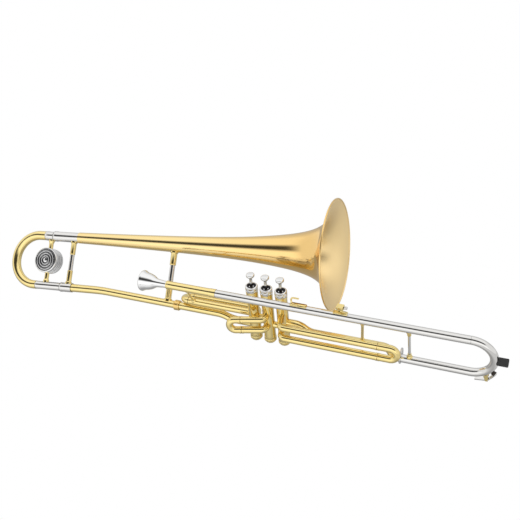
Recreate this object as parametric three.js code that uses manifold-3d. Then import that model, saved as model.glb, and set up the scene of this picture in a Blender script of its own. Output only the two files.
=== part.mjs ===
// Valve trombone: three piston valves between a long lead pipe with a front bow and a bell
// that carries the tuning slide and a counterweight.
// Millimetres. X runs along the valve row towards the bell mouth, Z is up along the pistons,
// Y points away from the player's left hand. The origin is on the middle valve, at mid height.
import * as THREE from 'three';
import { mergeVertices } from 'three/addons/utils/BufferGeometryUtils.js';
import Module from 'manifold-3d';

const wasm = await Module();
wasm.setup();

// General fit
const SEAT = 0.3;
const TUBE_SIDES = 12;
const CASING_SIDES = 20;
const BELL_SIDES = 32;
const SEAT_SIDES = 18;
const BORE_SIDES = 8;
const DEGREE = Math.PI / 180;

// Valve block
const VALVE_PITCH = 27.8;
const CASING_RADIUS = 10.5;
const CASING_BORE = 9.1;
const CASING_TOP = 50.5;
const CASING_BOTTOM = -47.5;
const CAP_RADIUS = 11.35;
const TOP_CAP_HEIGHT = 11.2;
const BOTTOM_CAP_DEPTH = 11.2;
const BOTTOM_CAP_FLOOR = 1.8;
const FELT_INNER = 3.6;
const FELT_OUTER = 8.5;
const FELT_HEIGHT = 1.8;
const STEM_RADIUS = 2.4;
const STEM_HOLE = 3.2;
const BUTTON_RADIUS = 7.55;
const BUTTON_BASE = 80.6;
const BUTTON_HEIGHT = 6;
const PISTON_RADIUS = 8.75;
const PISTON_TOP = 44;
const PISTON_BOTTOM = -38;
const PISTON_CHAMBER_RADIUS = 6.4;
const PISTON_CHAMBER_TOP = -29;
const PASSAGE_RADIUS = 4.2;
const SPRING_COIL_RADIUS = 5;
const SPRING_WIRE_RADIUS = 0.45;
const SPRING_CURLS = 4;

// Heights of the ports on the casings
const VALVE_STROKE = 17;
const RETURN_PORT = -7.6;
const CROSS_3_2 = -18;
const CROSS_2_1 = -6;
const EXIT_PORT = -24;

// Valve slides
const SLIDE_TUBE = 6.5;
const SLIDE_BORE = 5.9;
const SLIDE_LEG = 5.35;
const SLIDE_LEG_BORE = 4.75;
const SLIDE_ELBOW = 9.5;
const CROSSOVER_RADIUS = 6;
const CROSSOVER_BORE = 5.2;
const SLIDE_1_UPPER = new THREE.Vector3(-38, 0, 0.5);
const SLIDE_1_LOWER = new THREE.Vector3(-38, 23, -8.5);
const SLIDE_1_SLEEVE_END = -160;
const SLIDE_1_TIP = -181;
const SLIDE_1_INSERT = 46;
const SLIDE_2_UPPER = 6.9;
const SLIDE_2_LOWER = -15.7;
const SLIDE_2_SPLAY = 16.2;
const SLIDE_2_KNUCKLE_END = -14.7;
const SLIDE_2_SLEEVE = 34;
const SLIDE_2_LENGTH = 62;
const SLIDE_2_INSERT = 26;
const SLIDE_3_FRONT = -39;
const SLIDE_3_UPPER = 12;
const SLIDE_3_LOWER = -11.1;
const SLIDE_3_SLANT = 15;
const SLIDE_3_SLEEVE_END = 212;
const SLIDE_3_TIP = 251;
const SLIDE_3_INSERT = 70;

// Lead pipe, front bow and return tube
const LEAD_Y = -29.8;
const LEAD_Z = 53.6;
const LEAD_REAR_RADIUS = 8;
const LEAD_REAR_BORE = 6.9;
const LEAD_RADIUS = 7.9;
const LEAD_FRONT_RADIUS = 7.3;
const LEAD_WALL = 0.8;
const RECEIVER_MOUTH = -183;
const LEAD_JOINT = -84;
const BOW_X = 361.2;
const RETURN_Y = -20;
const RETURN_Z = -20.8;
const RETURN_START = 245.7;
const GOLD_RETURN_Z = -20.4;
const RETURN_RADIUS = 7.3;
const GOLD_DROP_START = 50;
const GOLD_DROP_LENGTH = 36;
const GOLD_STRAIGHT_END = 209.4;
const GOLD_ASIDE_LENGTH = 36;
const FLANGE_RADIUS = 13.8;
const FLANGE_THICKNESS = 1.8;
const BUMPER_RADIUS = 7.2;
const BUMPER_END = 420.5;

// Exit tube, lock nut and gooseneck
const EXIT_Y = 2.16;
const EXIT_Z = -18.19;
const EXIT_RADIUS = 7.8;
const EXIT_JOINT = -188.5;
const EXIT_STRAIGHT_END = -104;
const EXIT_DROP_LENGTH = 40;
const NUT_START = -194;
const NUT_END = -183;
const NUT_RADIUS = 9.9;
const GOOSENECK_CORNER = -359;
const GOOSENECK_BEND = 400;
const GOOSENECK_RADIUS = 9.4;
const NECK_AT_BEND = 9;
const NECK_AFTER_BEND = 8.5;
const NECK_STRAIGHT_END = -293;
const NECK_TAPER_LENGTH = 44;
const NECK_AT_BRACE = 8.1;

// Bell and the plane that it lies in
const BELL_ORIGIN = new THREE.Vector3(0, 91.6, 80);
const BELL_TILT = 42.34;
const BELL_ANGLE = 4.9;
const BELL_WALL = 0.9;
const BELL_BEAD = 1.7;
const BELL_START = -435;
// outside of the bell as [along, radius] pairs from the tail to the edge of the flare
const BELL_OUTLINE = [
  [-435, 12.1], [-343, 13.7], [-254, 15.5], [-190, 17.2], [-127, 19.5], [-75, 22.7],
  [-40, 25.9], [-8, 29.7], [20, 34.1], [44, 39.7], [62, 46.4], [76, 55.4], [85, 65.7], [91.5, 78.5],
  [95, 89.8], [97.3, 99.7],
];

// Tuning slide and counterweight
const CROOK_CENTRE = -527.7;
const CROOK_RADIUS = 50.85;
const CROOK_UPPER_TUBE = 10.2;
const CROOK_LOWER_TUBE = 9.3;
const CROOK_UPPER_STRAIGHT = 14.7;
const UPPER_FERRULE_START = CROOK_CENTRE + CROOK_UPPER_STRAIGHT;
const UPPER_FERRULE_RADIUS = 10.8;
const UPPER_SLEEVE_START = -493.6;
const UPPER_SLEEVE_RADIUS = 11;
const UPPER_SLEEVE_BORE = 10.1;
const UPPER_LEG = 9.7;
const CROOK_LOWER_STRAIGHT = 7.1;
const LOWER_LEG_START = CROOK_CENTRE + CROOK_LOWER_STRAIGHT;
const LOWER_LEG = 9.2;
const LOWER_SLEEVE_START = -462;
const LOWER_SLEEVE_END = -436;
const LOWER_SLEEVE_RADIUS = 10.4;
const LOWER_SLEEVE_BORE = 9.6;
const LEG_WALL = 0.9;
const WEIGHT_X = -499.5;
const WEIGHT_RADIUS = 25.5;
const WEIGHT_THICKNESS = 27;

// Braces: places, rods, sockets and spread feet
const REAR_BRACE = -447;
const BELL_BRACE = -220;
const BELL_AT_BRACE = 16.75;
const FRONT_BRACE = 262;
const MIDDLE_BRACE = 184;
const MIDDLE_BRACE_LEAN = 10;
const LEAD_BRACE = -146;
const LEAD_BRACE_LEAN = 4;
const BRACE_ROD = 1.9;
const STRONG_BRACE_ROD = 2.4;
const BRACE_SOCKET = 3.3;
const BRACE_FOOT = 5.2;
const BRACE_REACH = 8.5;

// Mouthpiece
const RIM_X = -234.5;
const RIM_RADIUS = 19.4;
const MOUTHPIECE_LENGTH = 80;

// Colours of the metals, rubber, felt and steel: tint, roughness, metalness
const BRASS = [0xe0c56a, 0.25, 1];
const GOLD_BRASS = [0xd9a94e, 0.25, 1];
const NICKEL = [0xcfccc4, 0.22, 1];
const SILVER = [0xdedddb, 0.2, 1];
const RUBBER = [0x161616, 0.8, 0];
const FELT = [0x1b1a1c, 0.95, 0];
const STEEL = [0x9a9a9c, 0.4, 1];

const X = new THREE.Vector3(1, 0, 0);
const Y = new THREE.Vector3(0, 1, 0);
const Z = new THREE.Vector3(0, 0, 1);
const trombone = new THREE.Group();
trombone.name = 'valve_trombone';

function vec(x, y, z) {
  return new THREE.Vector3(x, y, z);
}

function piece(name, geometry, [color, roughness, metalness]) {
  const plain = geometry.index ? geometry.toNonIndexed() : geometry;
  plain.computeVertexNormals();
  const material = new THREE.MeshStandardMaterial({ color, roughness, metalness });
  material.name = name;
  const mesh = new THREE.Mesh(plain, material);
  mesh.name = name;
  trombone.add(mesh);
  return mesh;
}

// A centre line walked step by step; every point keeps its heading and its size.
class TubeRoute extends THREE.Curve {
  constructor(start, heading, size = 1) {
    super();
    this.points = [start.clone()];
    this.headings = [heading.clone().normalize()];
    this.sizes = [size];
  }

  get end() {
    return this.points[this.points.length - 1];
  }

  get heading() {
    return this.headings[this.headings.length - 1];
  }

  get size() {
    return this.sizes[this.sizes.length - 1];
  }

  straight(length, size = this.size) {
    this.points.push(this.end.clone().addScaledVector(this.heading, length));
    this.headings.push(this.heading.clone());
    this.sizes.push(size);
    return this;
  }

  bend(axis, radius, angle, steps, size = this.size) {
    const around = axis.clone().normalize();
    const from = this.end.clone();
    const heading = this.heading.clone();
    const first = this.size;
    const centre = from.clone().addScaledVector(around.clone().cross(heading), radius);
    for (let i = 1; i <= steps; i += 1) {
      const turn = (angle * i) / steps;
      const arm = from.clone().sub(centre).applyAxisAngle(around, turn);
      this.points.push(centre.clone().add(arm));
      this.headings.push(heading.clone().applyAxisAngle(around, turn));
      this.sizes.push(first + ((size - first) * i) / steps);
    }
    return this;
  }

  // two equal bends that move the tube sideways and bring it back to its old heading
  shift(sideways, length, steps) {
    const distance = sideways.length();
    const side = sideways.clone().normalize();
    const angle = 2 * Math.atan(distance / length);
    const radius = length / (2 * Math.sin(angle));
    const axis = this.heading.clone().cross(side);
    this.bend(axis, radius, angle, steps);
    this.bend(axis.clone().negate(), radius, angle, steps);
    return this;
  }

  getPoint(t, target = new THREE.Vector3()) {
    const at = Math.min(this.points.length - 1, Math.round(t * (this.points.length - 1)));
    return target.copy(this.points[at]);
  }

  getSpacedPoints() {
    return this.points;
  }

  computeFrenetFrames() {
    const tangents = this.headings;
    const normals = [];
    const binormals = [];
    const guess = Math.abs(tangents[0].z) < 0.9 ? Z : X;
    let normal = guess.clone().cross(tangents[0]).normalize();
    for (let i = 0; i < tangents.length; i += 1) {
      if (i > 0) {
        const turn = new THREE.Quaternion().setFromUnitVectors(tangents[i - 1], tangents[i]);
        normal = normal.clone().applyQuaternion(turn);
      }
      const binormal = tangents[i].clone().cross(normal).normalize();
      normals.push(normal.clone().multiplyScalar(this.sizes[i]));
      binormals.push(binormal.multiplyScalar(this.sizes[i]));
    }
    return { tangents, normals, binormals };
  }
}

// hollow tube along a route; a bore of zero gives a solid rod
function tube(route, outer, bore, sides = TUBE_SIDES, boreSides = sides) {
  const ring = new THREE.Shape();
  ring.absarc(0, 0, outer, 0, Math.PI * 2, false);
  if (bore > 0) {
    const hole = new THREE.Path();
    for (let i = 0; i < boreSides; i += 1) {
      const angle = (i * 2 * Math.PI) / boreSides;
      const at = [bore * Math.cos(angle), -bore * Math.sin(angle)];
      if (i === 0) {
        hole.moveTo(...at);
      } else {
        hole.lineTo(...at);
      }
    }
    hole.closePath();
    ring.holes.push(hole);
  }
  return new THREE.ExtrudeGeometry(ring, {
    steps: route.points.length - 1,
    extrudePath: route,
    curveSegments: sides / 2,
  });
}

// body turned about an axis from [radius, along] pairs
function turned(profile, origin, axis, sides = CASING_SIDES) {
  let area = 0;
  for (let i = 0; i < profile.length; i += 1) {
    const [r1, a1] = profile[i];
    const [r2, a2] = profile[(i + 1) % profile.length];
    area += r1 * a2 - r2 * a1;
  }
  const ordered = area > 0 ? profile.slice() : profile.slice().reverse();
  const onAxis = ordered.some(([r]) => r === 0);
  if (onAxis) {
    while (ordered[0][0] !== 0 || ordered[ordered.length - 1][0] !== 0) {
      ordered.push(ordered.shift());
    }
  } else {
    ordered.push(ordered[0]);
  }
  const points = ordered.map(([r, along]) => new THREE.Vector2(r, along));
  const geometry = new THREE.LatheGeometry(points, sides);
  const turn = new THREE.Quaternion().setFromUnitVectors(Y, axis.clone().normalize());
  geometry.applyQuaternion(turn);
  geometry.translate(origin.x, origin.y, origin.z);
  return geometry;
}

function rodBetween(from, to, radius, sides = TUBE_SIDES) {
  const along = to.clone().sub(from);
  const profile = [[0, 0], [radius, 0], [radius, along.length()], [0, along.length()]];
  return turned(profile, from, along, sides);
}

function toSolid(geometry) {
  const plain = geometry.clone();
  plain.deleteAttribute('normal');
  plain.deleteAttribute('uv');
  const merged = mergeVertices(plain, 1e-4);
  const index = [];
  for (let i = 0; i < merged.index.count; i += 3) {
    const [a, b, c] = [0, 1, 2].map((k) => merged.index.getX(i + k));
    if (a !== b && b !== c && a !== c) {
      index.push(a, b, c);
    }
  }
  return new wasm.Manifold(new wasm.Mesh({
    numProp: 3,
    vertProperties: new Float32Array(merged.attributes.position.array),
    triVerts: new Uint32Array(index),
  }));
}

function toGeometry(solid) {
  const mesh = solid.getMesh();
  const geometry = new THREE.BufferGeometry();
  const positions = new Float32Array(mesh.vertProperties);
  geometry.setAttribute('position', new THREE.BufferAttribute(positions, 3));
  geometry.setIndex(new THREE.BufferAttribute(new Uint32Array(mesh.triVerts), 1));
  return geometry;
}

function joined(...geometries) {
  return toGeometry(geometries.map(toSolid).reduce((all, next) => all.add(next)));
}

function cut(geometry, ...tools) {
  return toGeometry(tools.reduce((left, tool) => left.subtract(toSolid(tool)), toSolid(geometry)));
}

// cylinder round a casing that gives a tube end its saddle shape
function casingTool(x) {
  return rodBetween(vec(x, 0, -90), vec(x, 0, 90), CASING_RADIUS + SEAT, CASING_SIDES);
}

function pipeTool(through, axis, radius, reach = 40) {
  const from = through.clone().addScaledVector(axis, -reach);
  const to = through.clone().addScaledVector(axis, reach);
  return rodBetween(from, to, radius + SEAT, SEAT_SIDES);
}

// Directions of the bell's plane
const tilt = BELL_TILT * DEGREE;
const swing = BELL_ANGLE * DEGREE;
const bellUp = vec(0, Math.sin(tilt), Math.cos(tilt));
const bellAlong = X.clone().multiplyScalar(Math.cos(swing)).addScaledVector(bellUp, Math.sin(swing));
const bellNormal = bellUp.clone().multiplyScalar(Math.cos(swing)).addScaledVector(X, -Math.sin(swing));
const bellBack = bellNormal.clone().cross(bellAlong);

function inBell(along, up, back = 0) {
  return BELL_ORIGIN.clone()
    .addScaledVector(bellAlong, along)
    .addScaledVector(bellNormal, up)
    .addScaledVector(bellBack, back);
}

const LOWER_UP = -2 * CROOK_RADIUS;

// Bell
function bellProfile() {
  const outside = BELL_OUTLINE.map(([along, r]) => [r, along]);
  const inside = [];
  for (let i = 0; i < BELL_OUTLINE.length; i += 1) {
    const before = BELL_OUTLINE[Math.max(0, i - 1)];
    const after = BELL_OUTLINE[Math.min(BELL_OUTLINE.length - 1, i + 1)];
    const slope = new THREE.Vector2(after[0] - before[0], after[1] - before[1]).normalize();
    const along = BELL_OUTLINE[i][0] + (i > 0 ? slope.y * BELL_WALL : 0);
    inside.push([BELL_OUTLINE[i][1] - slope.x * BELL_WALL, along]);
  }
  const [edgeAlong, edgeRadius] = BELL_OUTLINE[BELL_OUTLINE.length - 1];
  const bead = [];
  for (const angle of [270, 330, 30, 90, 150]) {
    const reach = angle * DEGREE;
    bead.push([
      edgeRadius + BELL_BEAD * (0.3 + Math.cos(reach)),
      edgeAlong + 0.4 + BELL_BEAD * Math.sin(reach),
    ]);
  }
  outside.pop();
  inside.pop();
  const fewer = inside.filter((point, i) => i === 0 || i > 8 || i % 2 === 0);
  return [...outside, ...bead, ...fewer.reverse()];
}

piece('bell', turned(bellProfile(), BELL_ORIGIN, bellAlong, BELL_SIDES), GOLD_BRASS);

// Sleeves of the tuning slide, and the gooseneck
piece('bell_slide_sleeve', turned([
  [UPPER_SLEEVE_BORE, UPPER_SLEEVE_START],
  [UPPER_SLEEVE_RADIUS + 0.5, UPPER_SLEEVE_START],
  [UPPER_SLEEVE_RADIUS + 0.5, UPPER_SLEEVE_START + 8],
  [UPPER_SLEEVE_RADIUS, UPPER_SLEEVE_START + 8.4],
  [UPPER_SLEEVE_RADIUS, BELL_START - SEAT],
  [UPPER_SLEEVE_BORE, BELL_START - SEAT],
], BELL_ORIGIN, bellAlong), NICKEL);

const lowerOrigin = inBell(0, LOWER_UP);
piece('lower_slide_sleeve', turned([
  [LOWER_SLEEVE_BORE, LOWER_SLEEVE_START],
  [LOWER_SLEEVE_RADIUS + 0.4, LOWER_SLEEVE_START],
  [LOWER_SLEEVE_RADIUS + 0.4, LOWER_SLEEVE_START + 4],
  [LOWER_SLEEVE_RADIUS, LOWER_SLEEVE_START + 4.4],
  [LOWER_SLEEVE_RADIUS, LOWER_SLEEVE_END],
  [LOWER_SLEEVE_BORE, LOWER_SLEEVE_END],
], lowerOrigin, bellAlong), NICKEL);

const neckCorner = vec(GOOSENECK_CORNER, EXIT_Y, EXIT_Z);
const neckStart = inBell(LOWER_SLEEVE_END + SEAT, LOWER_UP);
const neckSpan = neckCorner.clone().sub(neckStart);
const neckTangent = GOOSENECK_BEND * Math.tan(swing / 2);
const neckHeading = neckSpan.clone().normalize();
const neckTurn = neckHeading.angleTo(X);
const neckRoute = new TubeRoute(neckStart, neckHeading, 1);
neckRoute.straight(neckSpan.length() - neckTangent, NECK_AT_BEND / GOOSENECK_RADIUS);
neckRoute.bend(
  neckHeading.clone().cross(X),
  GOOSENECK_BEND,
  neckTurn,
  3,
  NECK_AFTER_BEND / GOOSENECK_RADIUS,
);
neckRoute.straight(NECK_STRAIGHT_END - neckRoute.end.x, NECK_AFTER_BEND / GOOSENECK_RADIUS);
neckRoute.straight(NECK_TAPER_LENGTH, NECK_AT_BRACE / GOOSENECK_RADIUS);
neckRoute.straight(EXIT_JOINT - SEAT - neckRoute.end.x, EXIT_RADIUS / GOOSENECK_RADIUS);
piece('gooseneck', tube(
  neckRoute,
  GOOSENECK_RADIUS,
  GOOSENECK_RADIUS - LEAD_WALL,
  TUBE_SIDES,
  BORE_SIDES,
), BRASS);

const exitAxis = vec(0, neckRoute.end.y, neckRoute.end.z);
const nutProfile = [[EXIT_RADIUS + SEAT + 0.15, NUT_START], [NUT_RADIUS - 0.7, NUT_START]];
for (let i = 0; i < 3; i += 1) {
  const from = NUT_START + 0.9 + i * 3.2;
  nutProfile.push([NUT_RADIUS, from], [NUT_RADIUS, from + 2.2], [NUT_RADIUS - 0.5, from + 2.7]);
}
nutProfile.push([NUT_RADIUS - 0.7, NUT_END], [EXIT_RADIUS + SEAT + 0.15, NUT_END]);
piece('bell_lock_nut', turned(nutProfile, exitAxis, X, 16), BRASS);

// Tuning slide with its counterweight
const crookRoute = new TubeRoute(inBell(UPPER_FERRULE_START - SEAT, 0), bellAlong.clone().negate());
crookRoute.straight(UPPER_FERRULE_START - SEAT - CROOK_CENTRE);
crookRoute.bend(
  bellAlong.clone().negate().cross(bellNormal.clone().negate()),
  CROOK_RADIUS,
  Math.PI,
  14,
  CROOK_LOWER_TUBE / CROOK_UPPER_TUBE,
);
crookRoute.straight(LOWER_LEG_START - SEAT - CROOK_CENTRE);
piece('tuning_crook', tube(
  crookRoute,
  CROOK_UPPER_TUBE,
  CROOK_UPPER_TUBE - LEG_WALL,
  TUBE_SIDES,
  BORE_SIDES,
), BRASS);

piece('tuning_leg_upper', turned([
  [UPPER_LEG - LEG_WALL, UPPER_FERRULE_START],
  [UPPER_FERRULE_RADIUS, UPPER_FERRULE_START],
  [UPPER_FERRULE_RADIUS, UPPER_SLEEVE_START - 0.9],
  [UPPER_LEG, UPPER_SLEEVE_START - 0.5],
  [UPPER_LEG, BELL_START - 2],
  [UPPER_LEG - LEG_WALL, BELL_START - 2],
], BELL_ORIGIN, bellAlong), NICKEL);

piece('tuning_leg_lower', turned([
  [LOWER_LEG - LEG_WALL, LOWER_LEG_START],
  [LOWER_LEG, LOWER_LEG_START],
  [LOWER_LEG, LOWER_SLEEVE_END - 0.6],
  [LOWER_LEG - LEG_WALL, LOWER_SLEEVE_END - 0.6],
], lowerOrigin, bellAlong), NICKEL);

function counterweight() {
  const half = WEIGHT_THICKNESS / 2;
  const edge = 2;
  const face = [];
  face.push([0, half - 1.2], [9, half - 1.2], [10, half - 0.2], [13, half - 0.2]);
  face.push([14, half - 1.2], [20.5, half - 1.2], [21.5, half]);
  const profile = [[0, -half], [WEIGHT_RADIUS - edge, -half], [WEIGHT_RADIUS, edge - half]];
  profile.push([WEIGHT_RADIUS, half - edge], [WEIGHT_RADIUS - edge, half]);
  profile.push(...face.reverse());
  const centre = inBell(WEIGHT_X, -CROOK_RADIUS);
  const disc = turned(profile, centre, bellBack.clone().negate(), 24);
  const stub = (reach) => {
    const shape = [[0, 20], [3.1, 20], [3.1, reach - 17], [5.4, reach - 13], [5.4, reach - 6], [0, reach - 6]];
    return shape;
  };
  const upper = turned(stub(CROOK_RADIUS), centre, bellNormal, 12);
  const lower = turned(stub(CROOK_RADIUS), centre, bellNormal.clone().negate(), 12);
  return cut(
    joined(disc, upper, lower),
    pipeTool(inBell(WEIGHT_X, 0), bellAlong, UPPER_FERRULE_RADIUS),
    pipeTool(inBell(WEIGHT_X, LOWER_UP), bellAlong, LOWER_LEG),
  );
}

piece('counterweight', counterweight(), BRASS);

// Braces
// A rod with a socket and a spread foot at both ends; the feet are cut to the tubes they sit on.
function brace(from, to, ends, rod = BRACE_ROD) {
  const span = to.clone().sub(from);
  const length = span.length();
  const [first, second] = ends;
  const near = first.radius;
  const far = length - second.radius;
  const profile = [[0, near - 3], [BRACE_FOOT, near - 3], [BRACE_FOOT, near + 1.4]];
  profile.push([BRACE_SOCKET, near + 2.6], [BRACE_SOCKET, near + BRACE_REACH]);
  profile.push([rod, near + BRACE_REACH + 0.6], [rod, far - BRACE_REACH - 0.6]);
  profile.push([BRACE_SOCKET, far - BRACE_REACH], [BRACE_SOCKET, far - 2.6]);
  profile.push([BRACE_FOOT, far - 1.4], [BRACE_FOOT, far + 3], [0, far + 3]);
  const body = turned(profile, from, span, 8);
  return cut(
    body,
    pipeTool(from, first.axis, first.radius),
    pipeTool(to, second.axis, second.radius),
  );
}

piece('rear_brace', brace(inBell(REAR_BRACE, 0), inBell(REAR_BRACE, LOWER_UP), [
  { axis: bellAlong, radius: UPPER_SLEEVE_RADIUS },
  { axis: bellAlong, radius: LOWER_SLEEVE_RADIUS },
], STRONG_BRACE_ROD), BRASS);

const neckAtBrace = inBell(BELL_BRACE, LOWER_UP);
neckAtBrace.y = exitAxis.y;
neckAtBrace.z = exitAxis.z;
piece('bell_brace', brace(inBell(BELL_BRACE, 0), neckAtBrace, [
  { axis: bellAlong, radius: BELL_AT_BRACE },
  { axis: X, radius: NECK_AT_BRACE },
], STRONG_BRACE_ROD), BRASS);

const leadAt = (x) => vec(x, LEAD_Y, LEAD_Z);
piece('brace_front', brace(leadAt(FRONT_BRACE), vec(FRONT_BRACE, RETURN_Y, RETURN_Z), [
  { axis: X, radius: LEAD_FRONT_RADIUS },
  { axis: X, radius: RETURN_RADIUS },
]), BRASS);
const middleFoot = vec(MIDDLE_BRACE - MIDDLE_BRACE_LEAN, 0, GOLD_RETURN_Z);
piece('brace_middle', brace(leadAt(MIDDLE_BRACE), middleFoot, [
  { axis: X, radius: LEAD_FRONT_RADIUS },
  { axis: X, radius: RETURN_RADIUS },
]), BRASS);
const leadFoot = vec(LEAD_BRACE - LEAD_BRACE_LEAN, SLIDE_1_UPPER.y, SLIDE_1_UPPER.z);
piece('brace_rear', brace(leadAt(LEAD_BRACE), leadFoot, [
  { axis: X, radius: LEAD_REAR_RADIUS },
  { axis: X, radius: SLIDE_TUBE },
]), BRASS);

// Valves
function passage(x, z, side, radius, rise = 0) {
  const from = vec(x, 0, z);
  const to = from.clone().addScaledVector(side, 16);
  to.z += rise;
  return rodBetween(from, to, radius, 12);
}

const slantSide = vec(Math.sin(SLIDE_3_SLANT * DEGREE), -Math.cos(SLIDE_3_SLANT * DEGREE), 0);
const left = X.clone().negate();
const front = Y.clone().negate();

// every port: the way it faces, its height and its bore in the casing wall
const VALVES = [
  {
    number: 1,
    x: -VALVE_PITCH,
    ports: [
      [X, CROSS_2_1, CROSSOVER_BORE],
      [left, SLIDE_1_UPPER.z, SLIDE_BORE - 0.5],
      [Y, SLIDE_1_LOWER.z, SLIDE_BORE - 0.5],
      [left, EXIT_PORT, EXIT_RADIUS - LEAD_WALL],
    ],
    open: [[X, CROSS_2_1], [left, EXIT_PORT]],
    pressed: [
      [[X, CROSS_2_1], [left, SLIDE_1_UPPER.z]],
      [[Y, SLIDE_1_LOWER.z], [left, EXIT_PORT]],
    ],
  },
  {
    number: 2,
    x: 0,
    ports: [
      [X, CROSS_3_2, CROSSOVER_BORE],
      [left, CROSS_2_1, CROSSOVER_BORE],
      [front, SLIDE_2_UPPER, SLIDE_BORE - 0.5],
      [front, SLIDE_2_LOWER, SLIDE_BORE - 0.5],
    ],
    open: [[X, CROSS_3_2], [left, CROSS_2_1]],
    pressed: [
      [[X, CROSS_3_2], [front, SLIDE_2_LOWER]],
      [[left, CROSS_2_1], [front, SLIDE_2_UPPER]],
    ],
  },
  {
    number: 3,
    x: VALVE_PITCH,
    ports: [
      [X, RETURN_PORT, RETURN_RADIUS - LEAD_WALL],
      [left, CROSS_3_2, CROSSOVER_BORE],
      [slantSide, SLIDE_3_UPPER, SLIDE_BORE - 0.5],
      [slantSide, SLIDE_3_LOWER, SLIDE_BORE - 0.5],
    ],
    open: [[X, RETURN_PORT], [left, CROSS_3_2]],
    pressed: [
      [[X, RETURN_PORT], [slantSide, SLIDE_3_UPPER]],
      [[left, CROSS_3_2], [slantSide, SLIDE_3_LOWER]],
    ],
  },
];

// drilled way through a piston between two ports, both met on the piston's outside
function pistonWay(x, [sideA, heightA], [sideB, heightB], lift) {
  const middle = vec(x, 0, (heightA + heightB) / 2 + lift);
  return [[sideA, heightA + lift], [sideB, heightB + lift]].map(([side, height]) => {
    const face = vec(x, 0, height).addScaledVector(side, PISTON_RADIUS);
    const out = face.clone().sub(middle);
    const inner = middle.clone().addScaledVector(out, -0.12);
    return rodBetween(inner, middle.clone().addScaledVector(out, 1.4), PASSAGE_RADIUS, 8);
  });
}

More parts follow.
